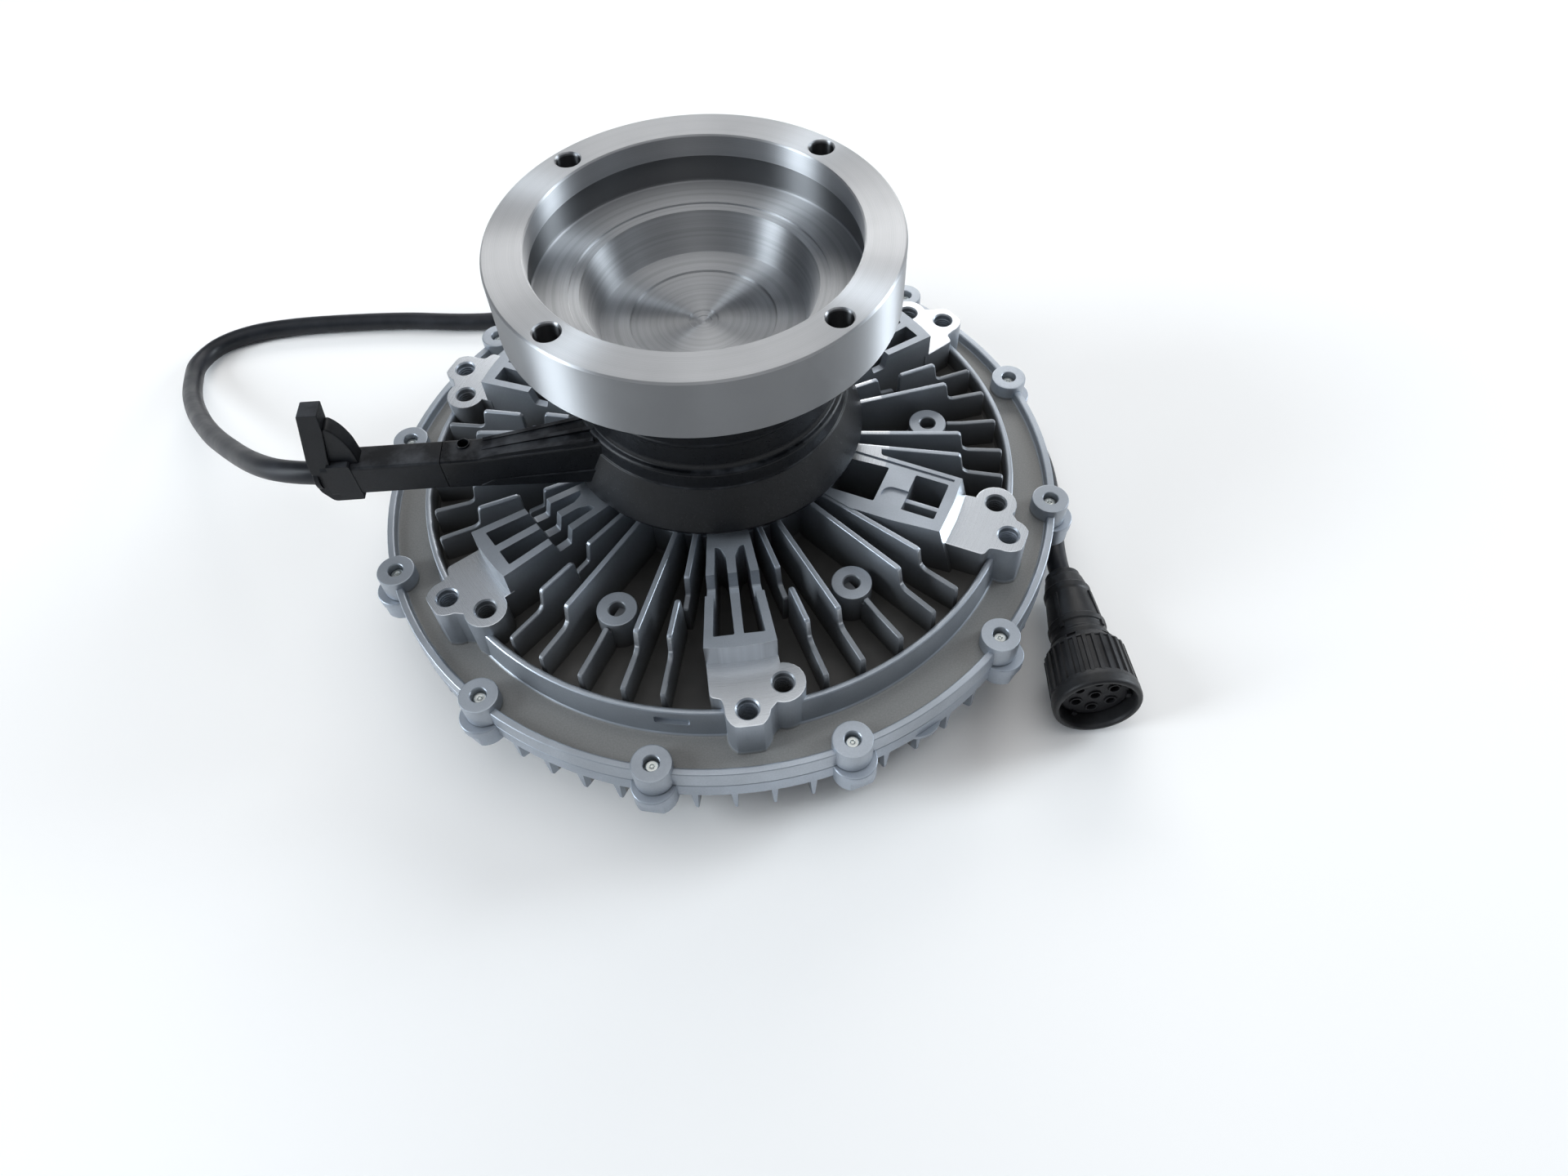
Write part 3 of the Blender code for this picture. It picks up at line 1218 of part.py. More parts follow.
def build_cable_guide(paint):
    """Sleeve over the arm's spigot with an upright tab at its end, bored for the lead."""
    start = ARM_END + FIT
    half = ARM_END_WIDTH / 2
    shape = bmesh.new()
    prism_into(shape, box_outline(start, PLATE_OUTER - 4.0, -half, half), ARM_BASE, ARM_TOP)
    guide = finish_object(shape, "cable_guide", paint)
    top_outer = PLATE_OUTER - TAB_LEAN
    profile = [
        (PLATE_INNER, PLATE_BASE),
        (PLATE_OUTER - 3.5, PLATE_BASE),
        (PLATE_OUTER, PLATE_BASE + 6.0),
        (PLATE_OUTER, ARM_TOP),
        (top_outer, TAB_TOP),
        (top_outer - TAB_DEPTH, TAB_TOP),
        (top_outer - TAB_DEPTH - 0.4, TAB_TOP - 7.0),
        (PLATE_INNER + 0.6, TAB_TOP - 9.0),
        (PLATE_INNER - 2.0, TAB_TOP - 15.0),
        (PLATE_INNER - 2.6, ARM_TOP - 1.0),
    ]
    shape = bmesh.new()
    side_plate_into(shape, profile, -TAB_WIDTH / 2, TAB_WIDTH / 2)
    boolean(guide, finish_object(shape, "tool_tab", None), "UNION")
    foot = [
        (PLATE_INNER + 0.5, PLATE_BASE + 0.6),
        (PLATE_OUTER - 4.0, PLATE_BASE + 0.6),
        (PLATE_OUTER - 1.0, PLATE_BASE + 6.5),
        (PLATE_OUTER - 1.0, ARM_TOP + 2.0),
        (PLATE_INNER + 0.5, ARM_TOP + 2.0),
    ]
    shape = bmesh.new()
    side_plate_into(shape, foot, -PLATE_WIDTH / 2, PLATE_WIDTH / 2)
    boolean(guide, finish_object(shape, "tool_end_plate", None), "UNION")
    pocket = ARM_SPIGOT_WIDTH / 2 + FIT
    bore = CABLE_RADIUS + 2 * FIT
    reach = ARM_END + ARM_SPIGOT_LENGTH + 1.0
    shape = bmesh.new()
    socket = box_outline(start - 1.0, reach, -pocket, pocket)
    prism_into(shape, socket, ARM_MIDDLE - pocket, ARM_MIDDLE + pocket)
    boolean(guide, finish_object(shape, "cut_socket", None), "DIFFERENCE")
    shape = bmesh.new()
    lay = Matrix.Translation((0.0, 0.0, ARM_MIDDLE)) @ Matrix.Rotation(
        math.radians(90.0), 4, "Y"
    )
    prism_into(shape, circle(bore, 12), reach - 0.5, PLATE_OUTER + 1.0, lay)
    boolean(guide, finish_object(shape, "cut_cable_bore", None), "DIFFERENCE")
    guide.location.y = ARM_OFFSET * MM
    guide.rotation_euler.z = math.radians(ARM_YAW)
    return guide


# ---- Lead and plug ----


def plug_frame():
    """Origin at the middle of the mouth, +X out of the mouth, +Z up."""
    yaw = turn_z(PLUG_YAW)
    tilt = Matrix.Rotation(math.radians(-PLUG_TILT), 4, "Y")
    return Matrix.Translation(PLUG_MOUTH) @ yaw @ tilt


def plug_object(obj):
    """Stand a piece that is turned about Z on the plug's axis, mouth at Z = 0."""
    place = plug_frame() @ Matrix.Rotation(math.radians(90.0), 4, "Y")
    obj.matrix_world = Matrix.Translation(place.translation * MM) @ place.to_quaternion(
        ).to_matrix().to_4x4()
    return obj


def build_plug(ring_paint, shell_paint, insert_paint):
    bore = PLUG_RING_RADIUS - PLUG_RING_WALL
    shape = bmesh.new()
    fluted = []
    for i in range(PLUG_FLUTES * 2):
        radius = PLUG_RING_RADIUS - (PLUG_FLUTE_DEPTH if i % 2 else 0.0)
        fluted.append(on_circle(radius, i * 180.0 / PLUG_FLUTES))
    prism_into(shape, fluted, -PLUG_RING_LENGTH, -3.0)
    ring = finish_object(shape, "coupling_ring", ring_paint)
    rim = [
        (0.0, -3.5),
        (PLUG_RING_RADIUS - 0.2, -3.5),
        (PLUG_RING_RADIUS, -2.6),
        (PLUG_RING_RADIUS, -0.8),
        (PLUG_RING_RADIUS - 0.8, 0.0),
        (0.0, 0.0),
    ]
    boolean(ring, turned("tool_ring_rim", rim, None, 24), "UNION")
    hollow = prism("cut_ring", circle(bore, 24), -PLUG_RING_LENGTH - 1.0, 1.0, None)
    boolean(ring, hollow, "DIFFERENCE")
    insert_top = -PLUG_INSERT_RECESS
    insert_base = insert_top - PLUG_INSERT_LENGTH
    inner = bore - FIT
    contacts = bmesh.new()
    spots = [(0.0, 0.0)]
    spots += [
        on_circle(PLUG_CONTACT_CIRCLE, 360.0 * i / PLUG_CONTACTS)
        for i in range(PLUG_CONTACTS)
    ]
    for spot in spots:
        outline = circle(PLUG_CONTACT_RADIUS, 8, spot)
        prism_into(contacts, outline, insert_top - 9.0, insert_top + 1.0)
    insert = prism(
        "plug_insert", circle(inner - 0.2, 24), insert_base, insert_top, insert_paint
    )
    boolean(insert, finish_object(contacts, "cut_contacts", None), "DIFFERENCE")
    collar = -PLUG_RING_LENGTH
    shell = [
        (0.0, insert_base - FIT),
        (inner - 0.2, insert_base - FIT),
        (inner - 0.2, collar - 3.0),
        (PLUG_SHELL_RADIUS, collar - 4.5),
        (PLUG_SHELL_RADIUS - 0.6, collar - 16.0),
        (PLUG_TAIL_RADIUS + 0.8, -PLUG_LENGTH + 4.0),
        (PLUG_TAIL_RADIUS, -PLUG_LENGTH + 3.0),
        (PLUG_TAIL_RADIUS, -PLUG_LENGTH),
        (CABLE_RADIUS + FIT, -PLUG_LENGTH),
        (CABLE_RADIUS + FIT, -PLUG_LENGTH + PLUG_CABLE_DEPTH),
        (0.0, -PLUG_LENGTH + PLUG_CABLE_DEPTH),
    ]
    body = turned("plug_backshell", shell, shell_paint, 16)
    for obj in (ring, insert, body):
        plug_object(obj)


def smooth_route(points, spacing):
    """Points along a Catmull-Rom curve through the route, about evenly spaced."""
    ends = [points[0] * 2 - points[1]] + points + [points[-1] * 2 - points[-2]]
    fine = []
    for i in range(1, len(ends) - 2):
        a, b, c, d = ends[i - 1], ends[i], ends[i + 1], ends[i + 2]
        for step in range(40):
            t = step / 40
            fine.append(
                0.5
                * (
                    2 * b
                    + (c - a) * t
                    + (2 * a - 5 * b + 4 * c - d) * t * t
                    + (3 * b - a - 3 * c + d) * t * t * t
                )
            )
    fine.append(points[-1])
    total = sum((fine[i + 1] - fine[i]).length for i in range(len(fine) - 1))
    count = max(2, round(total / spacing))
    made, walked, index = [fine[0]], 0.0, 0
    for k in range(1, count):
        goal = total * k / count
        while walked + (fine[index + 1] - fine[index]).length < goal:
            walked += (fine[index + 1] - fine[index]).length
            index += 1
        span = (fine[index + 1] - fine[index]).length
        made.append(fine[index].lerp(fine[index + 1], (goal - walked) / span))
    made.append(fine[-1])
    return made


def cable_route():
    """From the arm, down in a loop beside the clutch and round behind it to the plug."""
    place = arm_place()
    floor = CABLE_RADIUS
    start = ARM_END + ARM_SPIGOT_LENGTH + 2.0
    stations = (start, start + 12.0, PLATE_OUTER - 12.0, PLATE_OUTER + 1.0)
    first = [place @ Vector((x, 0.0, ARM_MIDDLE)) for x in stations]
    loop = [
        (-170.0, -10.6, 84.5),
        (-185.5, 2.5, 77.0),
        (-203.0, 23.0, 65.0),
        (-221.5, 47.0, 51.5),
        (-239.0, 74.0, 37.5),
        (-253.5, 101.0, 24.5),
        (-264.0, 127.0, 13.0),
        (-268.0, 147.0, floor + 2.5),
        (-260.5, 162.5, floor + 0.4),
        (-244.0, 170.5, floor + 0.06),
        (-221.0, 172.8, floor),
        (-192.0, 171.6, floor),
        (-161.0, 168.5, floor),
        (-116.0, 161.5, floor),
        (-60.0, 163.0, floor),
        (0.0, 166.0, floor),
        (56.0, 153.0, floor),
        (108.0, 120.0, floor),
        (143.0, 72.0, floor + 0.2),
        (153.5, 20.0, floor + 0.8),
    ]
    tail = plug_frame()
    back = -PLUG_LENGTH + PLUG_CABLE_DEPTH - FIT
    last = [tail @ Vector((x, 0.0, 0.0)) for x in (-PLUG_LENGTH - 14.0, -PLUG_LENGTH + 1.0)]
    last.append(tail @ Vector((back, 0.0, 0.0)))
    return first + [Vector(p) for p in loop] + last


def build_cable(paint):
    points = smooth_route(cable_route(), CABLE_RADIUS * 4.4)
    curve = bpy.data.curves.new("cable", "CURVE")
    curve.dimensions = "3D"
    curve.bevel_depth = CABLE_RADIUS * MM
    curve.bevel_resolution = 2
    curve.use_fill_caps = True
    spline = curve.splines.new("POLY")
    spline.points.add(len(points) - 1)
    for point, spot in zip(spline.points, points):
        point.co = (*(spot * MM), 1.0)
    curve.materials.append(paint)
    obj = bpy.data.objects.new("cable", curve)
    bpy.context.scene.collection.objects.link(obj)
    return obj


def main():
    clear_scene()
    cast = material("cast_aluminium", (0.33, 0.36, 0.39), 0.5, 0.85)
    cover_cast = material("cover_aluminium", (0.36, 0.38, 0.41), 0.5, 0.85)
    turned_steel = material("turned_steel", (0.62, 0.62, 0.62), 0.28, 1.0)
    bearing_steel = material("bearing_steel", (0.55, 0.56, 0.58), 0.2, 1.0)
    cage_brass = material("cage_brass", (0.62, 0.47, 0.2), 0.35, 1.0)
    zinc = material("zinc_steel", (0.66, 0.68, 0.66), 0.35, 1.0)
    spring_steel = material("spring_steel", (0.12, 0.12, 0.13), 0.4, 1.0)
    soft_iron = material("soft_iron", (0.25, 0.25, 0.26), 0.5, 1.0)
    copper = material("enamelled_copper", (0.5, 0.22, 0.1), 0.4, 1.0)
    rotor_aluminium = material("rotor_aluminium", (0.5, 0.51, 0.53), 0.4, 0.9)
    seal_rubber = material("seal_rubber", (0.02, 0.02, 0.02), 0.8, 0.0)
    case_black = material("coil_case_black", (0.018, 0.019, 0.021), 0.5, 0.0)
    guide_black = material("guide_black", (0.02, 0.021, 0.024), 0.55, 0.0)
    cable_black = material("cable_black", (0.016, 0.017, 0.018), 0.5, 0.0)
    plug_black = material("plug_black", (0.017, 0.017, 0.018), 0.5, 0.0)
    insert_black = material("insert_black", (0.03, 0.03, 0.032), 0.6, 0.0)
    build_rear_housing(cast)
    build_front_cover(cover_cast)
    build_screws(zinc)
    build_seal(seal_rubber)
    build_reservoir_plate(zinc)
    build_valve(spring_steel, soft_iron, zinc)
    build_drive_flange(turned_steel)
    build_bearing(
        "main_bearing",
        MAIN_BEARING_BASE,
        MAIN_BEARING_WIDTH,
        MAIN_BEARING_RADIUS,
        MAIN_BALL_RADIUS,
        MAIN_BALLS,
        bearing_steel,
        cage_brass,
    )
    build_bearing(
        "coil_bearing",
        COIL_BEARING_BASE,
        COIL_BEARING_WIDTH,
        COIL_BEARING_RADIUS,
        COIL_BALL_RADIUS,
        COIL_BALLS,
        bearing_steel,
        cage_brass,
    )
    build_spacer(soft_iron)
    groove = CLIP_GROOVE_BASE + FIT
    build_circlip("main_bearing_circlip", HUB_BORE, groove, SMALL_COUNT, spring_steel)
    clip_base = COIL_BEARING_BASE - 2 * FIT - CIRCLIP_THICKNESS
    coil_bore = COIL_BEARING_RADIUS + FIT
    build_circlip("coil_bearing_circlip", coil_bore, clip_base, SMALL_COUNT, spring_steel)
    build_rotor(rotor_aluminium, zinc)
    build_coil(case_black, soft_iron, copper)
    build_cable_guide(guide_black)
    build_plug(plug_black, plug_black, insert_black)
    build_cable(cable_black)


main()
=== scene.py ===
"""Finished look of an electronically controlled viscous fan clutch."""

import math

import bmesh
import bpy
from bpy.props import FloatProperty, FloatVectorProperty, IntProperty, PointerProperty
from mathutils import Matrix, Vector


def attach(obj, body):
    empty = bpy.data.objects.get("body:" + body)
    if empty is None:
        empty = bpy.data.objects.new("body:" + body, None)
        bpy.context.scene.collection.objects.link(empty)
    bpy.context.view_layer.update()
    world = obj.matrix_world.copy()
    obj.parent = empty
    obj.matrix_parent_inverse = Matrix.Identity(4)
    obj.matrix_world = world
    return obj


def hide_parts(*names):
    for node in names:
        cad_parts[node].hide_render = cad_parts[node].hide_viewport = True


bl_info = {
    "name": "Viscous Fan Clutch",
    "version": (1, 0, 0),
    "blender": (4, 5, 0),
    "location": "View3D > Sidebar > Fan Clutch",
    "description": "Builds the castings, the drive flange, the coil, the lead and the stage",
    "category": "Object",
}

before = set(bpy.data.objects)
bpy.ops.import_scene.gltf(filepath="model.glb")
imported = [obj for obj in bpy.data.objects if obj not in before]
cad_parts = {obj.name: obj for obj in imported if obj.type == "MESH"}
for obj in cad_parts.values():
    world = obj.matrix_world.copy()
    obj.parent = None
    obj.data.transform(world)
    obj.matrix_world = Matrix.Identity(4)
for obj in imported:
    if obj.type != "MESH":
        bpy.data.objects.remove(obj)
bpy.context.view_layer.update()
MM = 0.001

# Places shared by several pieces, in millimetres and degrees
SECTOR_AZIMUTHS = [-90.0 + 60.0 * i for i in range(6)]
HEAVY_AZIMUTH = -30.0
LUG_AZIMUTHS = [-105.0 + 30.0 * i for i in range(12)]
PILLAR_AZIMUTHS = [-60.0 + 60.0 * i for i in range(6)]
SEAT_HOLES = ((0.0, 125.6), (13.7, 116.4))
LUG_CIRCLE = 140.0
SCREW_BORE = 3.1
BOLT_CIRCLE = 65.0
BOLT_AZIMUTH = 40.7
BOLT_RADIUS = 4.6
LEAD_HEIGHT = 87.5
ARM_PLACE = Matrix.Translation((0.0, -25.0, 0.0)) @ Matrix.Rotation(math.radians(177.0), 4, "Z")
PLUG_PLACE = (
    Matrix.Translation((136.5, -121.0, 20.2))
    @ Matrix.Rotation(math.radians(-94.3), 4, "Z")
    @ Matrix.Rotation(math.radians(-5.3), 4, "Y")
)


FOCAL_PIXELS, PHOTO_WIDTH = 1281.54, 1920.0


# ---- Hand tools ----


def settle():
    """Put the active piece's place, turn and scale into its mesh."""
    bpy.ops.object.transform_apply(location=True, rotation=True, scale=True)


def select_all():
    """Select the whole mesh in edit mode."""
    bpy.ops.mesh.select_all(action="SELECT")


def select_none():
    """Deselect every object."""
    bpy.ops.object.select_all(action="DESELECT")


def only(obj):
    """Object mode, with this one object selected and active."""
    if bpy.context.object and bpy.context.object.mode != "OBJECT":
        bpy.ops.object.mode_set(mode="OBJECT")
    select_none()
    obj.select_set(True)
    bpy.context.view_layer.objects.active = obj


class Editing:
    """Edit mode on one object, left again at the end of the block."""

    def __init__(self, obj):
        self.obj = obj

    def __enter__(self):
        only(self.obj)
        bpy.ops.object.mode_set(mode="EDIT")
        bpy.ops.mesh.select_mode(type="VERT")
        return self.obj

    def __exit__(self, *_):
        bpy.ops.object.mode_set(mode="OBJECT")


def pick(obj, kind, test):
    """Select the vertices, edges or faces whose place passes the test."""
    bpy.ops.mesh.select_mode(type=kind)
    bpy.ops.mesh.select_all(action="DESELECT")
    mesh = bmesh.from_edit_mesh(obj.data)
    found = 0
    for item in {"VERT": mesh.verts, "EDGE": mesh.edges, "FACE": mesh.faces}[kind]:
        if kind == "VERT":
            good = test(item.co / MM)
        elif kind == "EDGE":
            ends = [v.co / MM for v in item.verts]
            good = test((ends[0] + ends[1]) / 2, (ends[1] - ends[0]).normalized())
        else:
            good = test(item.calc_center_median() / MM, item.normal)
        item.select_set(bool(good))
        found += bool(good)
    mesh.select_flush_mode()
    bmesh.update_edit_mesh(obj.data)
    if not found:
        raise RuntimeError(f"nothing on {obj.name} passes the test")


def soften(profile):
    """Corners given as (a, b, radius) become short arcs."""
    made = []
    count = len(profile)
    for i, corner in enumerate(profile):
        here = Vector(corner[:2])
        if len(corner) == 2:
            made.append(here)
            continue
        back = Vector(profile[i - 1][:2]) - here
        ahead = Vector(profile[(i + 1) % count][:2]) - here
        reach = min(corner[2], back.length * 0.45, ahead.length * 0.45)
        first = here + back.normalized() * reach
        last = here + ahead.normalized() * reach
        for t in (0.0, 0.3, 0.7, 1.0):
            made.append(first * (1 - t) ** 2 + here * 2 * t * (1 - t) + last * t * t)
    return made


def in_plane(point, plane, third):
    a, b = point
    spot = {"XY": (a, b, third), "XZ": (a, third, b)}[plane]
    return Vector(spot) * MM


def drawn(name, points, plane, third=0.0, closed=True):
    """A line of points, drawn one after the other by extruding a vertex."""
    select_none()
    first = in_plane(points[0], plane, third)
    bpy.ops.mesh.primitive_plane_add(size=MM, location=first)
    obj = bpy.context.object
    obj.name = name
    obj.data.name = name
    settle()
    with Editing(obj):
        select_all()
        bpy.ops.mesh.merge(type="CENTER")
        here = first
        for point in points[1:]:
            spot = in_plane(point, plane, third)
            bpy.ops.mesh.extrude_region_move(TRANSFORM_OT_translate={"value": spot - here})
            here = spot
        if closed:
            bpy.ops.mesh.extrude_region_move(TRANSFORM_OT_translate={"value": first - here})
            select_all()
            bpy.ops.mesh.remove_doubles(threshold=1e-6)
    return obj


def turned(name, profile, steps=128, closed=False):
    """A profile drawn beside the axis and spun round it."""
    obj = drawn(name, soften(profile), "XZ", 0.0, closed)
    with Editing(obj):
        select_all()
        bpy.ops.mesh.spin(steps=steps, angle=2 * math.pi, center=(0, 0, 0), axis=(0, 0, 1))
        select_all()
        bpy.ops.mesh.remove_doubles(threshold=5e-6)
        bpy.ops.mesh.normals_make_consistent(inside=False)
    return obj


def slab(name, outline, plane, low, high):
    """An outline drawn in a plane, filled and extruded from low to high."""
    obj = drawn(name, soften(outline), plane, low)
    step = (0, 0, (high - low) * MM) if plane == "XY" else (0, (high - low) * MM, 0)
    with Editing(obj):
        select_all()
        bpy.ops.mesh.edge_face_add()
        bpy.ops.mesh.extrude_region_move(TRANSFORM_OT_translate={"value": step})
        select_all()
        bpy.ops.mesh.normals_make_consistent(inside=False)
    return obj


def bevel(obj, test, width, segments=2):
    """Round the edges whose middle and direction pass the test."""
    with Editing(obj):
        pick(obj, "EDGE", test)
        bpy.ops.mesh.bevel(offset=width * MM, segments=segments, affect="EDGES", clamp_overlap=True)


def stretch(obj, test, factors, centre=(0.0, 0.0, 0.0)):
    """Scale the corners that pass the test about a centre."""
    with Editing(obj):
        pick(obj, "VERT", test)
        bpy.ops.transform.resize(value=factors, center_override=Vector(centre) * MM)


def shift(obj, test, by):
    """Move the corners that pass the test."""
    with Editing(obj):
        pick(obj, "VERT", test)
        bpy.ops.transform.translate(value=Vector(by) * MM)


def place(obj, matrix):
    """Put a piece drawn in millimetres' terms at its place and apply it to the mesh."""
    spot = matrix.copy()
    spot.translation = matrix.translation * MM
    only(obj)
    obj.matrix_world = spot
    settle()
    return obj


def turn(degrees):
    """A turn about the clutch's axis."""
    return Matrix.Rotation(math.radians(degrees), 4, "Z")


def copies(obj, matrices):
    """Copies of a piece at each place, joined into one, in place of the first."""
    made = []
    for matrix in matrices:
        only(obj)
        bpy.ops.object.duplicate(linked=False)
        made.append(place(bpy.context.object, matrix))
    bpy.data.objects.remove(obj, do_unlink=True)
    return join(made[0], *made[1:])


def join(first, *others):
    """One object of several, under the first one's name."""
    only(first)
    for obj in others:
        obj.select_set(True)
    bpy.context.view_layer.objects.active = first
    if others:
        bpy.ops.object.join()
    return first


def boolean(obj, cutter):
    """Cut one shape out of another, and delete it."""
    only(obj)
    modifier = obj.modifiers.new("cut", "BOOLEAN")
    modifier.operation = "DIFFERENCE"
    modifier.solver = "EXACT"
    modifier.object = cutter
    bpy.ops.object.modifier_apply(modifier=modifier.name)
    bpy.data.objects.remove(cutter, do_unlink=True)
    if not obj.data.polygons:
        raise RuntimeError(f"nothing is left of {obj.name}")


def ridges(spot, low, count, pitch, radii, sides):
    """The crests of a screw thread, one slightly tilted ring to each turn."""
    made = []
    for level in range(count):
        select_none()
        bpy.ops.mesh.primitive_torus_add(
            major_segments=sides[0], minor_segments=sides[1], major_radius=radii[0] * MM, minor_radius=radii[1] * MM,
            location=(spot[0] * MM, spot[1] * MM, (low + pitch * level) * MM), rotation=(0.05, 0.0, 0.0),
        )
        made.append(bpy.context.object)
        settle()
    return made


def rod(name, radius, low, high, centre=(0.0, 0.0), sides=32, chamfer=0.0, wide=0.0):
    """A round bar, with its top edge broken, or flared by wide for a countersink."""
    select_none()
    bpy.ops.mesh.primitive_cylinder_add(
        vertices=sides, radius=radius * MM, depth=(high - low) * MM,
        location=(centre[0] * MM, centre[1] * MM, (low + high) / 2 * MM),
    )
    obj = bpy.context.object
    obj.name = name
    settle()
    if chamfer:
        bevel(obj, lambda m, d: m.z > high - 0.01 and abs(d.z) < 0.1, chamfer, 2)
    if wide:
        with Editing(obj):
            pick(obj, "FACE", lambda c, n: n.z > 0.9)
            bpy.ops.mesh.extrude_region_move(TRANSFORM_OT_translate={"value": (0, 0, wide * MM)})
            scale = (radius + wide) / radius
            middle = Vector((centre[0], centre[1], high)) * MM
            bpy.ops.transform.resize(value=(scale, scale, 1), center_override=middle)
    return obj


def smooth(obj, degrees=28.0):
    """Smooth shading up to an angle, with flat faces kept flat."""
    only(obj)
    bpy.ops.object.shade_smooth_by_angle(angle=math.radians(degrees))
    bpy.ops.object.modifier_add(type="WEIGHTED_NORMAL")
    obj.modifiers[-1].keep_sharp = True
    bpy.ops.object.modifier_apply(modifier=obj.modifiers[-1].name)
    return obj


def dress(obj, name, paint, body, nodes):
    """Name, material, body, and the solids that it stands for."""
    if not obj.data.polygons:
        raise RuntimeError(f"{name} has no faces")
    obj.name = name
    obj.data.name = name
    obj.data.materials.clear()
    obj.data.materials.append(paint)
    smooth(obj)
    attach(obj, body)
    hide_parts(*nodes)


def on_circle(radius, degrees):
    """A place on a circle round the axis."""
    angle = math.radians(degrees)
    return (radius * math.cos(angle), radius * math.sin(angle))


def sector_place(azimuth):
    """Turns a piece drawn with +Y outward and +X anticlockwise to its azimuth."""
    flip = Matrix.Diagonal((-1.0, 1.0, 1.0, 1.0))
    return turn(azimuth - 90.0) @ flip


# ---- Finishes ----


class Finish:
    """A material on the object's own coordinates, built node by node."""

    def __init__(self, name):
        self.paint = bpy.data.materials.new(name)
        self.paint.use_nodes = True
        self.nodes = self.paint.node_tree.nodes
        self.links = self.paint.node_tree.links
        self.shader = self.nodes["Principled BSDF"]
        self.where = self.nodes.new("ShaderNodeTexCoord").outputs["Object"]

    def node(self, kind, **settings):
        made = self.nodes.new("ShaderNode" + kind)
        for key, value in settings.items():
            setattr(made, key, value)
        return made

    def feed(self, socket, value):
        if isinstance(value, bpy.types.NodeSocket):
            self.links.new(value, socket)
        elif isinstance(value, (tuple, list)) and len(value) == 3 and len(socket.default_value) == 4:
            socket.default_value = (*value, 1.0)
        else:
            socket.default_value = value

    def maths(self, operation, first, second=0.0, third=None):
        made = self.node("Math", operation=operation)
        self.feed(made.inputs[0], first)
        self.feed(made.inputs[1], second)
        if third is not None:
            self.feed(made.inputs[2], third)
        return made.outputs[0]

    def product(self, first, *others):
        for other in others:
            first = self.maths("MULTIPLY", first, other)
        return first

    def noise(self, scale, detail=3.0, rough=0.5):
        made = self.node("TexNoise")
        made.inputs["Scale"].default_value = scale
        made.inputs["Detail"].default_value = detail
        made.inputs["Roughness"].default_value = rough
        self.links.new(self.where, made.inputs["Vector"])
        return made.outputs["Fac"]

    def lines(self, along, scale, detail=2.0):
        """Noise along one value, for tool marks."""
        made = self.node("TexNoise", noise_dimensions="1D")
        made.inputs["Scale"].default_value = scale
        made.inputs["Detail"].default_value = detail
        self.links.new(along, made.inputs["W"])
        return made.outputs["Fac"]

    def split(self):
        made = self.node("SeparateXYZ")
        self.links.new(self.where, made.inputs[0])
        return made.outputs

    def length(self, across, along):
        """The length of two sides at a right angle."""
        return self.maths("SQRT", self.maths("MULTIPLY_ADD", across, across, self.product(along, along)))

    def radius(self):
        """Distance from the clutch's axis."""
        x, y, _ = self.split()
        return self.length(x, y)

    def remap(self, value, low, high, to_low=0.0, to_high=1.0):
        made = self.node("MapRange")
        self.feed(made.inputs[0], value)
        for socket, number in zip(list(made.inputs)[1:5], (low, high, to_low, to_high)):
            socket.default_value = number
        return made.outputs[0]

    def within(self, value, low, high, soft=0.0002):
        """One between two values, nought outside them."""
        return self.product(self.remap(value, low, low + soft), self.remap(value, high - soft, high, 1.0, 0.0))

    def mix(self, factor, first, second):
        made = self.node("Mix", data_type="RGBA")
        self.feed(made.inputs[0], factor)
        self.feed(made.inputs[6], first)
        self.feed(made.inputs[7], second)
        return made.outputs[2]

    def blend(self, factor, first, second):
        made = self.node("Mix", data_type="FLOAT")
        self.feed(made.inputs[0], factor)
        self.feed(made.inputs[2], first)
        self.feed(made.inputs[3], second)
        return made.outputs[0]

    def facing_up(self, low=0.8, high=0.95):
        """One where the surface faces up."""
        normal = self.node("NewGeometry").outputs["Normal"]
        made = self.node("SeparateXYZ")
        self.links.new(normal, made.inputs[0])
        return self.remap(made.outputs["Z"], low, high)

    def facing_out(self, low=0.75, high=0.85):
        """One where the surface faces away from the axis."""
        made = self.node("SeparateXYZ")
        self.links.new(self.node("TexCoord").outputs["Normal"], made.inputs[0])
        x, y, _ = self.split()
        across = self.product(made.outputs["X"], x)
        total = self.maths("MULTIPLY_ADD", made.outputs["Y"], y, across)
        return self.remap(self.maths("DIVIDE", total, self.radius()), low, high)

    def bump(self, height, strength, distance):
        made = self.node("Bump")
        made.inputs["Strength"].default_value = strength
        made.inputs["Distance"].default_value = distance * MM
        self.links.new(height, made.inputs["Height"])
        return made.outputs["Normal"]

    def done(self, colour, rough, metal, normal=None, **constants):
        self.feed(self.shader.inputs["Base Color"], colour)
        self.feed(self.shader.inputs["Roughness"], rough)
        self.feed(self.shader.inputs["Metallic"], metal)
        if normal:
            self.feed(self.shader.inputs["Normal"], normal)
        for key, value in constants.items():
            self.shader.inputs[key.replace("_", " ")].default_value = value
        return self.paint


def scaled(colour, factor):
    """A colour made darker or lighter."""
    return tuple(min(1.0, c * factor) for c in colour)


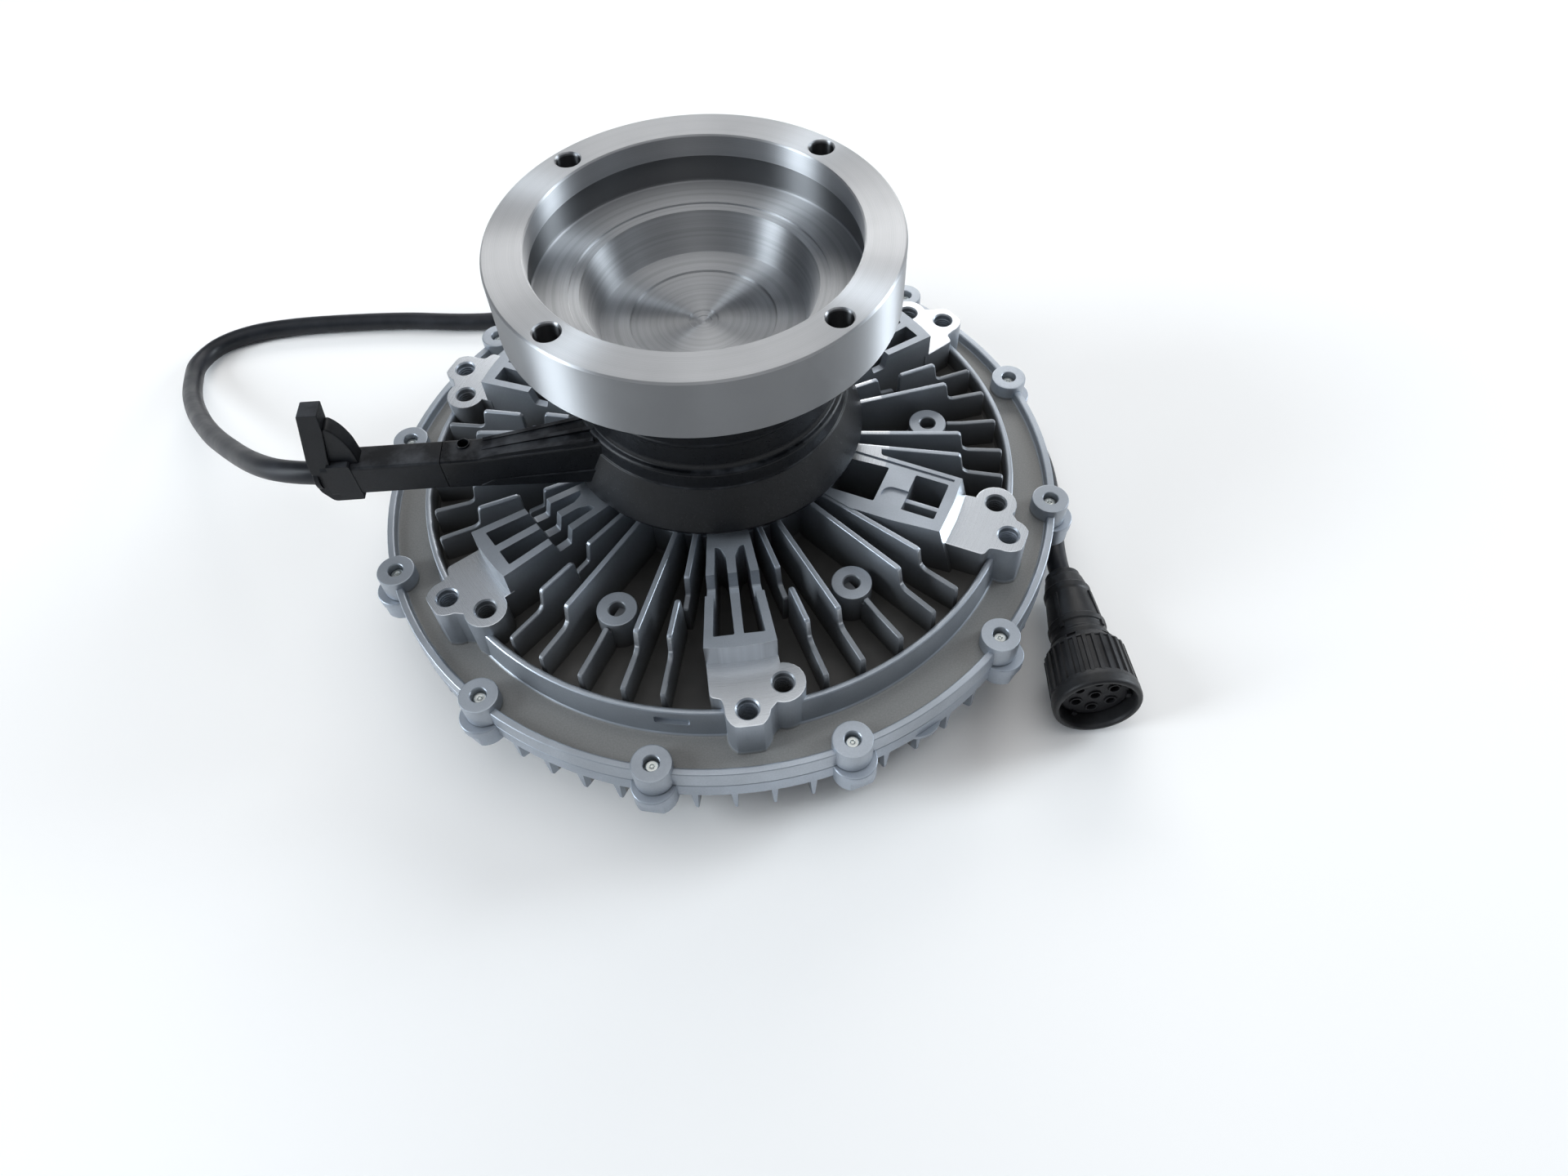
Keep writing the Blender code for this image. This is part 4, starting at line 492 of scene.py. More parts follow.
def casting(name, colour, warm, cut, shade_tone):
    """Sand-cast aluminium with machined seats and hub zone, and painted shade between the fins."""
    f = Finish(name)
    x, y, z = f.split()
    reach = f.radius()
    up = f.facing_up()
    large = f.noise(26.0, 3.0, 0.55)
    fine = f.noise(1500.0, 4.0, 0.6)

    # Machined: the seats, the wall behind each seat, and fin tips near the hub on one side
    seats = f.product(f.within(z, 0.0603, 0.0618), up, f.remap(reach, 0.1015, 0.1022))
    wall = f.product(f.remap(reach, 0.1003, 0.1006), f.remap(z, 0.0604, 0.0606), f.facing_out())
    sweep = f.maths("DIVIDE", f.maths("ADD", f.product(x, 0.999), f.product(y, 0.035)), reach)
    tips = f.product(f.remap(reach, 0.0712, 0.0716, 1.0, 0.0), f.remap(z, 0.0686, 0.0688), up,
                     f.remap(sweep, 0.86, 0.9))
    bright = f.maths("MAXIMUM", f.maths("MAXIMUM", seats, f.product(wall, 0.85)), tips)

    # Cast: mottled, with painted shade between the fins that darkens towards their floor and is less metallic, and
    # warmer and less metallic in the outer trough
    base = f.mix(f.remap(large, 0.35, 0.68), scaled(colour, 0.84), scaled(colour, 1.14))
    base = f.mix(f.remap(fine, 0.3, 0.7, 0.0, 0.22), base, scaled(colour, 0.7))
    # Painted shade mask: full on the floor between the fins inside the rim, fading to nothing at 68.8 mm up, kept off
    # upward faces above the seats' level
    web = f.product(f.remap(reach, 0.1203, 0.1212, 1.0, 0.0), f.remap(z, 0.0455, 0.0688, 1.0, 0.0))
    flat = f.product(up, f.remap(z, 0.0604, 0.0608))
    web = f.product(f.maths("POWER", web, 0.7), f.maths("SUBTRACT", 1.0, flat))
    base = f.mix(web, base, f.mix(f.remap(large, 0.4, 0.62), scaled(shade_tone, 0.75), scaled(shade_tone, 1.3)))
    trough = f.product(f.remap(z, 0.0405, 0.0415, 1.0, 0.0), f.within(reach, 0.1245, 0.139, 0.0005))
    base = f.mix(trough, base, f.mix(f.remap(fine, 0.35, 0.65), scaled(warm, 0.9), scaled(warm, 1.1)))

    marks = f.lines(reach, 9000.0, 3.0)
    shine = f.mix(f.remap(marks, 0.3, 0.7), scaled(cut, 0.86), scaled(cut, 1.08))
    rough = f.blend(bright, f.remap(fine, 0.3, 0.7, 0.34, 0.5), f.remap(marks, 0.3, 0.7, 0.26, 0.38))
    metal = f.blend(bright, f.blend(f.maths("MAXIMUM", web, trough), 0.72, 0.12), 1.0)
    return f.done(f.mix(bright, base, shine), rough, metal, f.bump(fine, 0.24, 0.08))


def lathed(name, colour, rough, mark, anisotropic, flange=False):
    """Bright steel with the lathe's rings on faces and walls, light drawn out across them."""
    f = Finish(name)
    x, y, z = f.split()
    reach = f.radius()
    along = f.maths("ADD", reach, f.product(z, 0.83))
    fine = f.lines(along, mark, 4.0)
    wide = f.lines(along, 520.0, 3.0)
    haze = f.noise(45.0, 3.0, 0.6)
    base = f.mix(f.remap(fine, 0.3, 0.7), scaled(colour, 0.88), scaled(colour, 1.07))
    rings = f.product(f.remap(wide, 0.42, 0.68, 0.0, 0.55), f.remap(reach, 0.054, 0.058, 1.0, 0.3))
    base = f.mix(rings, base, scaled(colour, 0.74))
    if flange:
        # Painted shade with a darker machined finish in the undercut, a painted dark reflection on the outer side wall,
        # and painted shade in the four threaded holes
        undercut_finish_and_shade = f.product(f.within(z, 0.1458, 0.1575), f.remap(reach, 0.0585, 0.0588),
                           f.remap(reach, 0.061, 0.0612, 1.0, 0.0))
        base = f.mix(undercut_finish_and_shade, base, scaled(colour, 0.42))
        # Painted dark reflection: the outer side wall is darkened as if it mirrored dark surroundings
        edge = f.product(f.facing_out(0.85, 0.95), f.remap(reach, 0.071, 0.0715))
        base = f.mix(edge, base, scaled(colour, 0.7))
        # Painted shade: the walls of the four threaded holes are painted nearly black below the top face
        cosine, sine = on_circle(1.0, BOLT_AZIMUTH)
        across = f.maths("ABSOLUTE", f.maths("MULTIPLY_ADD", x, cosine, f.product(y, sine)))
        along = f.maths("ABSOLUTE", f.maths("MULTIPLY_ADD", y, cosine, f.product(x, -sine)))
        out = f.maths("SUBTRACT", f.maths("MAXIMUM", across, along), BOLT_CIRCLE * MM)
        off = f.length(out, f.maths("MINIMUM", across, along))
        thread = f.remap(off, (BOLT_RADIUS + 0.05) * MM, (BOLT_RADIUS + 0.2) * MM, 1.0, 0.0)
        base = f.mix(f.product(thread, f.remap(z, 0.1645, 0.1654, 1.0, 0.0)), base, scaled(colour, 0.16))
    gloss = f.maths("ADD", f.remap(fine, 0.25, 0.75, *rough), f.remap(haze, 0.4, 0.7, 0.0, 0.04))
    tangent = f.node("Tangent", direction_type="RADIAL", axis="Z")
    f.links.new(tangent.outputs[0], f.shader.inputs["Tangent"])
    normal = f.bump(fine, 0.1, 0.02)
    return f.done(base, gloss, 1.0, normal, Anisotropic=anisotropic, Anisotropic_Rotation=0.25)


def plated(name, colour, rough=0.34):
    """Zinc plating with a faint mottle."""
    f = Finish(name)
    blotch = f.noise(420.0, 4.0, 0.6)
    base = f.mix(f.remap(blotch, 0.35, 0.65), scaled(colour, 0.8), scaled(colour, 1.1))
    normal = f.bump(f.noise(1600.0, 2.0), 0.15, 0.03)
    return f.done(base, f.remap(blotch, 0.3, 0.7, rough - 0.06, rough + 0.1), 1.0, normal)


def moulded(name, colour, rough, grain, dust):
    """Black moulding with a fine grain and a little dust on what faces up."""
    f = Finish(name)
    fine = f.noise(grain, 3.0, 0.6)
    cloud = f.noise(70.0, 4.0, 0.6)
    powder = f.product(f.facing_up(0.4, 1.0), f.remap(cloud, 0.42, 0.7, 0.0, dust * 4))
    base = f.mix(f.remap(cloud, 0.35, 0.65), scaled(colour, 0.8), scaled(colour, 1.25))
    base = f.mix(powder, base, (0.09, 0.095, 0.105))
    gloss = f.maths("MULTIPLY_ADD", powder, 0.4, f.remap(fine, 0.3, 0.7, rough - 0.06, rough + 0.07))
    return f.done(base, gloss, 0.0, f.bump(fine, 0.25, 0.06), Specular_IOR_Level=0.27)


def jacket(name, colour):
    """Cable jacket: smooth, with faint scuffs along it."""
    f = Finish(name)
    scuff = f.noise(55.0, 5.0, 0.65)
    fine = f.noise(1100.0, 2.0)
    base = f.mix(f.remap(scuff, 0.4, 0.72), colour, scaled(colour, 2.0))
    gloss = f.remap(scuff, 0.35, 0.7, 0.34, 0.52)
    return f.done(base, gloss, 0.0, f.bump(fine, 0.12, 0.04), Specular_IOR_Level=0.25)


# ---- Sizes and colours that a user would change ----


def tint(name, description, default):
    return FloatVectorProperty(name=name, description=description, subtype="COLOR", default=default, min=0.0, max=1.0)


class ClutchCastings(bpy.types.PropertyGroup):
    fin_thickness: FloatProperty(
        name="Fin Thickness", description="Thickness of a fin at its top",
        default=0.0022, min=0.001, max=0.004, unit="LENGTH",
    )
    fin_rounding: FloatProperty(
        name="Fin Rounding", description="Radius along the top of each fin", default=0.0008, min=0.0001,
        max=0.001, unit="LENGTH",
    )
    spin_steps: IntProperty(
        name="Facets", description="Facets round the large turned pieces", default=144, min=48, max=256
    )
    cast_colour: tint("Cast Colour", "Colour of the rough casting", (0.41, 0.445, 0.49))
    # Colour of the painted shade on the fins and the floor between them
    painted_shade_colour: tint("Painted Shade Colour", "Painted shade between the fins", (0.06, 0.057, 0.053))
    trough_colour: tint("Trough Colour", "Warmer floor of the outer trough", (0.215, 0.215, 0.208))
    cut_colour: tint("Machined Colour", "Freshly machined aluminium", (0.68, 0.71, 0.745))
    cover_colour: tint("Cover Colour", "Colour of the cover", (0.38, 0.42, 0.475))


class ClutchDrive(bpy.types.PropertyGroup):
    steel_colour: tint("Steel Colour", "Bright turned steel", (0.5, 0.51, 0.525))


class ClutchCoil(bpy.types.PropertyGroup):
    case_colour: tint("Case Colour", "Black coil housing and arm", (0.0045, 0.0052, 0.0068))
    rib_height: FloatProperty(
        name="Rib Height", description="Height of the ribs on the arm", default=0.0014, min=0.0004, max=0.003,
        unit="LENGTH",
    )


class ClutchLead(bpy.types.PropertyGroup):
    jacket_colour: tint("Jacket Colour", "Cable jacket", (0.011, 0.012, 0.015))
    diameter: FloatProperty(
        name="Lead Diameter", description="Diameter of the lead", default=0.009, min=0.006, max=0.012, unit="LENGTH"
    )
    flutes: IntProperty(name="Flutes", description="Grip flutes on the coupling ring", default=28, min=12, max=40)


class ClutchStage(bpy.types.PropertyGroup):
    light: FloatProperty(name="Light", description="Strength of the soft lamps", default=1.0, min=0.1, max=4.0)


# ---- Lead ----


def smooth_route(points, spacing):
    """Points along a Catmull-Rom curve through the route, about evenly spaced."""
    ends = [points[0] * 2 - points[1]] + points + [points[-1] * 2 - points[-2]]
    fine = []
    for i in range(1, len(ends) - 2):
        a, b, c, d = ends[i - 1], ends[i], ends[i + 1], ends[i + 2]
        for step in range(40):
            t = step / 40
            fine.append(
                0.5 * (2 * b + (c - a) * t + (2 * a - 5 * b + 4 * c - d) * t * t
                       + (3 * b - a - 3 * c + d) * t * t * t)
            )
    fine.append(points[-1])
    total = sum((fine[i + 1] - fine[i]).length for i in range(len(fine) - 1))
    count = max(2, round(total / spacing))
    made, walked, index = [fine[0]], 0.0, 0
    for k in range(1, count):
        goal = total * k / count
        while walked + (fine[index + 1] - fine[index]).length < goal:
            walked += (fine[index + 1] - fine[index]).length
            index += 1
        span = (fine[index + 1] - fine[index]).length
        made.append(fine[index].lerp(fine[index + 1], (goal - walked) / span))
    made.append(fine[-1])
    return made, total


def lead_route(floor):
    """From the cable guide, down in a loop and round behind the clutch to the plug."""
    first = [ARM_PLACE @ Vector((x, 0.0, LEAD_HEIGHT)) for x in (128.0, 141.0, 154.0)]
    loop = [
        (-170.0, -10.6, 84.5), (-185.5, 2.5, 77.0), (-203.0, 23.0, 65.0), (-221.5, 47.0, 51.5),
        (-239.0, 74.0, 37.5), (-253.5, 101.0, 24.5), (-264.0, 127.0, 13.0), (-268.0, 147.0, floor + 2.5),
        (-260.5, 162.5, floor + 0.4), (-244.0, 170.5, floor + 0.06), (-221.0, 172.8, floor),
        (-192.0, 171.6, floor), (-161.0, 168.5, floor), (-116.0, 161.5, floor), (-60.0, 163.0, floor),
        (0.0, 166.0, floor), (56.0, 153.0, floor), (108.0, 120.0, floor), (143.0, 72.0, floor + 0.2),
        (153.5, 20.0, floor + 0.8),
    ]
    last = [PLUG_PLACE @ Vector((x, 0.0, 0.0)) for x in (-81.0, -66.0, -57.3)]
    return first + [Vector(p) for p in loop] + last


class CLUTCH_OT_lead(bpy.types.Operator):
    """The lead from the cable guide to the plug"""

    bl_idname = "clutch.lead"
    bl_label = "Lead"

    def execute(self, context):
        settings = context.scene.clutch_lead
        half = settings.diameter / 2
        points, length = smooth_route(lead_route(half / MM), 4.0)
        curve = bpy.data.curves.new("lead", "CURVE")
        curve.dimensions = "3D"
        curve.bevel_depth = half
        curve.bevel_resolution = 6
        curve.use_fill_caps = True
        spline = curve.splines.new("POLY")
        spline.points.add(len(points) - 1)
        for point, spot in zip(spline.points, points):
            point.co = (*(spot * MM), 1.0)
        spline.use_smooth = True
        lead = bpy.data.objects.new("lead", curve)
        context.scene.collection.objects.link(lead)
        curve.materials.append(jacket("lead_jacket", tuple(settings.jacket_colour)))
        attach(lead, "coil")
        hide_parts("cable")
        return {"FINISHED"}


class CLUTCH_OT_plug(bpy.types.Operator):
    """Coupling ring, contact face and backshell of the plug"""

    bl_idname = "clutch.plug"
    bl_label = "Plug"

    def execute(self, context):
        settings = context.scene.clutch_lead
        black = moulded("plug_moulding", (0.016, 0.016, 0.017), 0.42, 1300.0, 0.04)
        outline = []
        for i in range(settings.flutes):
            middle = 360.0 * i / settings.flutes
            half = 90.0 / settings.flutes
            for share, radius in ((-1.1, 16.4), (-0.75, 17.3), (0.75, 17.3), (1.1, 16.4)):
                outline.append(on_circle(radius, middle + share * half))
        ring = slab("plug_coupling", outline, "XY", -24.5, -6.0)
        stretch(ring, lambda v: v.z < -20.0, (0.94, 0.94, 1.0))
        bevel(ring, lambda m, d: abs(d.z) < 0.1 and math.hypot(m.x, m.y) > 16.9, 0.5, 2)
        rim = turned("rim", [(14.6, -7.0), (17.0, -7.0, 0.4), (17.5, -4.6, 0.5), (17.5, -1.2, 0.7),
                             (16.9, 0.0, 0.6), (15.4, 0.0, 0.4), (14.75, -1.4, 0.4)], 72, True)
        tail = turned("tail", [(12.5, -28.6), (13.3, -28.6, 0.4), (15.7, -25.0, 0.8), (15.9, -24.1, 0.3),
                               (14.6, -24.1), (12.5, -25.4)], 72, True)
        notch = slab("notch", [(12.9, -1.9), (18.0, -1.9), (18.0, 1.9), (12.9, 1.9)], "XY", -28.0, -25.6)
        boolean(tail, copies(notch, [turn(30.0 + 60.0 * i) for i in range(6)]))
        boolean(ring, rod("bore", 14.7, -40.0, 2.0, sides=72))
        ring = join(ring, rim, tail)
        face = turned("plug_face", [(0.0, -6.0), (13.3, -6.0, 0.5), (14.2, -6.9, 0.4), (14.2, -22.0), (0.0, -22.0)], 64)
        holes = [(0.0, 0.0)] + [on_circle(8.0, 60.0 * i) for i in range(6)]
        rims = []
        for spot in holes:
            around = turned("collar", [(1.7, -9.0), (2.55, -9.0), (2.55, -5.35, 0.25), (1.85, -5.35, 0.2)], 24, True)
            rims.append(place(around, Matrix.Translation((*spot, 0.0))))
        boolean(face, join(*[rod("hole", 1.75, -15.0, -5.0, spot, 20) for spot in holes]))
        key = slab("key", [(12.2, -1.1, 0.3), (14.1, -1.1), (14.1, 1.1), (12.2, 1.1, 0.3)], "XY", -12.0, -4.6)
        face = join(face, *rims, copies(key, [turn(a) for a in (90.0, 205.0, 330.0)]))
        body = turned(
            "plug_body",
            [
                (0.0, -22.4), (14.2, -22.4, 0.3), (14.2, -23.7, 0.3), (12.2, -25.0, 0.3), (12.2, -31.6, 0.5),
                (11.4, -33.0, 0.5),
                (11.3, -36.0, 0.3), (11.9, -36.6, 0.3), (11.9, -39.0, 0.3), (11.3, -39.6, 0.3), (10.9, -44.0, 1.0),
                (9.6, -54.0, 1.0), (9.9, -55.0, 0.3), (9.9, -57.5, 0.3), (9.3, -58.2, 0.3), (8.1, -63.6, 0.6),
                (7.4, -64.2, 0.3), (7.4, -67.0, 0.8), (5.1, -67.0, 0.3), (4.8, -66.0), (4.8, -57.0), (0.0, -57.0),
            ],
            64,
        )
        rib = slab("rib", [(10.4, -34.0), (12.2, -34.0, 0.4), (10.6, -53.0, 0.6), (9.2, -53.0)], "XZ", -0.8, 0.8)
        body = join(body, copies(rib, [turn(45.0 + 90.0 * i) for i in range(4)]))
        upright = PLUG_PLACE @ Matrix.Rotation(math.radians(90.0), 4, "Y")
        for obj in (ring, face, body):
            place(obj, upright)
        dress(ring, "plug_coupling", black, "coupling", ["coupling_ring"])
        grey = moulded("plug_face_moulding", (0.016, 0.016, 0.018), 0.5, 1200.0, 0.03)
        dress(face, "plug_face", grey, "coil", ["plug_insert"])
        dress(body, "plug_body", black, "coil", ["plug_backshell"])
        return {"FINISHED"}


# ---- Castings ----


def fin(name, profile, thickness, rounding, foot_growth):
    """A wall standing on the XZ plane, thicker at its foot and rounded along its top."""
    wall = slab(name, profile, "XZ", -thickness / 2, thickness / 2)
    low = min(point[1] for point in profile) + 0.1
    bevel(wall, lambda m, d: m.z > low + 1.0 and abs(abs(m.y) - thickness / 2) < 0.01 and abs(d.y) < 0.1,
          min(rounding, thickness * 0.42), 3)
    stretch(wall, lambda v: v.z < low, (1.0, foot_growth, 1.0))
    return wall


def housing_fins(settings):
    """Long, inner, outer and short fins between the frames, each kind drawn once."""
    step = [(100.4, 69.0, 1.6), (102.0, 60.6, 1.4), (104.0, 59.2, 1.2), (118.8, 58.6, 1.6), (119.2, 45.6)]
    long_profile = [(48.0, 45.6), (48.0, 69.0, 0.6)] + step
    outer_profile = [(83.3, 45.6), (83.3, 69.0, 2.2)] + step
    inner_profile = [(48.0, 45.6), (48.0, 69.0, 0.6), (74.0, 69.0, 1.2), (75.8, 60.4, 1.0), (82.3, 59.6, 1.4),
                     (82.3, 45.6)]
    short_profile = [(97.2, 45.6), (97.2, 60.2, 0.8), (104.0, 59.2, 1.0), (118.8, 58.6, 1.6), (119.2, 45.6)]
    every = SECTOR_AZIMUTHS
    near = [a + 13.4 for a in every if a != HEAVY_AZIMUTH]
    far = [a + 46.6 for a in every if a + 60.0 != HEAVY_AZIMUTH]
    made = []
    for profile, azimuths in (
        (long_profile, [a + s for a in every for s in (21.7, 38.3)] + [HEAVY_AZIMUTH - 14.9, HEAVY_AZIMUTH + 14.9]),
        (inner_profile, near + far),
        (outer_profile, [a + 1.1 for a in near] + [a - 1.1 for a in far]),
        (short_profile, [a + 30.0 for a in every]),
    ):
        wall = fin("fin", profile, settings.fin_thickness / MM, settings.fin_rounding / MM, 1.5)
        made.append(copies(wall, [turn(a) for a in azimuths]))
    return made


def seat_outline():
    """A waist with two lobes, one round each hole, the outer one flattened."""
    outer, side = SEAT_HOLES
    points = [(13.2, 103.6), (13.6, 108.2)]
    for x, y in (on_circle(8.3, d) for d in range(-84, 112, 15)):
        points.append((side[0] + x, side[1] + y))
    for x, y in (on_circle(8.3, d) for d in range(8, 196, 15)):
        points.append((outer[0] + x, outer[1] + min(y, 6.9)))
    return points + [(-8.9, 120.6, 1.2), (-13.0, 119.4, 1.6), (-13.2, 103.6)]


def fan_seats():
    """One machined seat with its two tapped holes, copied to the six sectors."""
    outline = seat_outline()
    seat = slab("seat", outline, "XY", 38.2, 60.7)
    skirt = slab("skirt", outline, "XY", 38.2, 41.4)
    stretch(skirt, lambda v: v.z < 39.0, (1.12, 1.06, 1.0), (4.0, 116.0, 38.2))
    boolean(seat, join(*[rod("tap", 3.95, 41.5, 60.1, spot, 36, wide=1.0) for spot in SEAT_HOLES]))

    def far_from_holes(m):
        return all(abs(math.hypot(m.x - x, m.y - y) - 4.3) > 1.2 for x, y in SEAT_HOLES)

    bevel(seat, lambda m, d: m.z > 60.65 and abs(d.z) < 0.1 and far_from_holes(m), 0.35, 2)
    threads = [ridges(spot, 45.2, 11, 1.25, (3.98, 0.42), (36, 6)) for spot in SEAT_HOLES]
    seat = join(seat, skirt, *threads[0], *threads[1])
    return copies(seat, [sector_place(a) for a in SECTOR_AZIMUTHS])


def half_width(radius):
    """Half of a frame's width, which grows from 7.2 at its hub end to 13.2 at its seat."""
    return 7.2 + (13.2 - 7.2) * (radius - 47.8) / (106.3 - 47.8)


def fan_frames():
    """The raised frame behind each seat, with two pockets and a notch turned across it."""
    outline = [(-7.2, 47.8), (7.2, 47.8), (13.2, 105.4), (6.6, 106.2), (0.0, 106.4), (-6.6, 106.2), (-13.2, 105.4)]
    piece = slab("frame", outline, "XY", 45.6, 71.6)
    for side in (-1.0, 1.0):
        pocket = [
            (side * 1.6, 66.4, 0.5), (side * 3.4, 62.2, 0.8), (side * (half_width(61.2) - 3.0), 61.2, 0.8),
            (side * (half_width(101.1) - 3.1), 101.1, 0.6), (side * 1.6, 101.1, 0.6),
        ]
        cutter = slab("pocket", pocket, "XY", 46.6, 76.0)
        stretch(cutter, lambda v: v.z < 47.0, (0.86, 0.985, 1.0), (side * 5.0, 82.0, 46.6))
        boolean(piece, cutter)
    section = [(74.0, 76.0), (74.0, 71.6), (75.8, 64.6, 0.9), (81.5, 64.6, 0.9), (83.3, 71.6), (83.3, 76.0)]
    notch = slab("notch", section, "XZ", -30.0, 30.0)
    boolean(piece, place(notch, turn(90.0)))
    bevel(piece, lambda m, d: m.z > 71.5 and abs(d.z) < 0.35, 0.45, 2)
    spots = [sector_place(a) for a in SECTOR_AZIMUTHS if a != HEAVY_AZIMUTH]
    return copies(piece, spots)


def heavy_frame():
    """The one frame with solid flanks, a dimpled plate across it and a barred outer pocket."""
    outline = [
        (-12.6, 47.8), (12.6, 47.8), (17.2, 66.0, 0.6), (13.4, 67.5, 1.0), (13.4, 103.9), (0.0, 104.5),
        (-15.3, 103.9), (-16.9, 81.9, 2.0), (-16.9, 67.5, 1.0), (-17.2, 66.0, 0.6),
    ]
    piece = slab("heavy_frame", outline, "XY", 45.6, 69.3)
    shift(piece, lambda v: v.z > 69.0 and v.y > 103.0, (0.0, -2.4, 0.0))
    shift(piece, lambda v: v.z < 46.0 and v.y > 103.0, (0.0, 4.4, 0.0))
    inner = [(-10.4, 52.0, 0.8), (6.6, 52.0, 0.8), (8.0, 72.75, 0.8), (-10.4, 72.75, 0.8)]
    outer = [(-10.4, 83.95, 0.8), (8.3, 83.95, 0.8), (8.3, 97.6, 0.8), (-10.4, 97.6, 0.8)]
    for pocket in (inner, outer):
        boolean(piece, slab("pocket", pocket, "XY", 46.8, 76.0))
    boolean(piece, rod("dimple", 4.2, 68.3, 74.0, (-5.0, 78.35), 40))
    trail = [(-9.2, 78.4), (-0.8, 78.4), (-0.8, 84.4), (-9.2, 84.4)]
    groove = [(10.3, 52.0), (11.6, 52.0), (11.6, 99.0), (10.3, 99.0)]
    boolean(piece, slab("trail", trail, "XY", 68.3, 74.0))
    boolean(piece, slab("groove", groove, "XY", 68.5, 74.0))
    bevel(piece, lambda m, d: m.z > 69.2 and abs(d.z) < 0.2, 0.4, 2)
    bar = slab("bar", [(-4.1, 83.2), (-1.9, 83.2), (-1.9, 99.0), (-4.1, 99.0)], "XY", 46.0, 66.3)
    bevel(bar, lambda m, d: m.z > 66.2 and abs(d.y) > 0.9, 0.5, 2)
    return place(join(piece, bar), sector_place(HEAVY_AZIMUTH))


def pillars():
    """The bored pillar between two seats, with a web across it."""
    pillar = rod("pillar", 7.8, 45.6, 61.3, (89.05, 0.0), 48, chamfer=0.5)
    boolean(pillar, rod("pillar_hole", 3.2, 49.3, 60.9, (89.05, 0.0), 28, wide=0.8))
    web = slab("web", [(80.0, 45.6), (80.4, 56.8, 0.8), (97.8, 57.4, 0.8), (97.8, 45.6)], "XZ", -1.3, 1.3)
    pillar = join(pillar, web)
    return copies(pillar, [turn(a) for a in PILLAR_AZIMUTHS])


def rim_lugs():
    """The boss over each cover screw."""
    lug = rod("lug", 7.65, 36.2, 47.0, (LUG_CIRCLE, 0.0), 48, chamfer=0.7)
    boolean(lug, rod("lug_hole", SCREW_BORE, 35.0, 46.7, (LUG_CIRCLE, 0.0), 24, wide=0.6))
    return copies(lug, [turn(a) for a in LUG_AZIMUTHS])


class CLUTCH_OT_rear_housing(bpy.types.Operator):
    """Rear housing: turned body, fins, frames, fan seats, pillars and lugs"""

    bl_idname = "clutch.rear_housing"
    bl_label = "Rear Housing"

    def execute(self, context):
        settings = context.scene.clutch_castings
        profile = [
            (32.0, 51.7), (36.3, 51.7), (36.3, 79.3), (38.2, 79.3), (38.2, 81.4), (36.3, 81.4), (36.3, 83.0, 0.3),
            (36.8, 83.4), (42.0, 83.4, 0.6), (42.0, 62.0), (49.0, 62.0, 0.8), (49.2, 46.0, 2.4),
            (120.2, 46.0, 2.0), (120.7, 53.6, 0.6), (121.5, 54.5, 0.7), (123.4, 54.5, 0.9), (124.2, 40.0, 1.8),
            (139.0, 40.0, 1.2), (139.4, 43.6, 0.4), (139.9, 44.0, 0.4), (142.4, 44.0, 0.6), (142.8, 36.0, 0.3),
            (127.0, 36.0), (127.0, 39.0), (103.0, 39.0), (103.0, 43.0), (99.0, 43.0), (99.0, 39.0), (32.0, 39.0),
        ]
        body = turned("rear_casting", profile, settings.spin_steps, True)
        cutters = []
        for azimuth in SECTOR_AZIMUTHS:
            for x, y in SEAT_HOLES:
                spot = sector_place(azimuth) @ Vector((x, y, 0.0))
                cutters.append(rod("tap_clearance", 4.6, 42.5, 62.0, (spot.x, spot.y), 24))
        for azimuth in LUG_AZIMUTHS:
            cutters.append(rod("screw_clearance", SCREW_BORE, 34.0, 50.0, on_circle(LUG_CIRCLE, azimuth), 24))
        boolean(body, join(*cutters))
        slot = slab("slot", [(122.1, -6.6), (128.0, -6.6), (128.0, 6.6), (122.1, 6.6)], "XY", 46.6, 51.0)
        bevel(slot, lambda m, d: abs(d.x) > 0.9, 1.2, 3)
        boolean(body, place(slot, turn(-103.0)))
        body = join(body, *housing_fins(settings), fan_seats(), fan_frames(), heavy_frame(), pillars(), rim_lugs())
        paint = casting("rear_cast_aluminium", settings.cast_colour, settings.trough_colour, settings.cut_colour,
                        settings.painted_shade_colour)
        dress(body, "rear_casting", paint, "housing", ["rear_housing"])
        return {"FINISHED"}


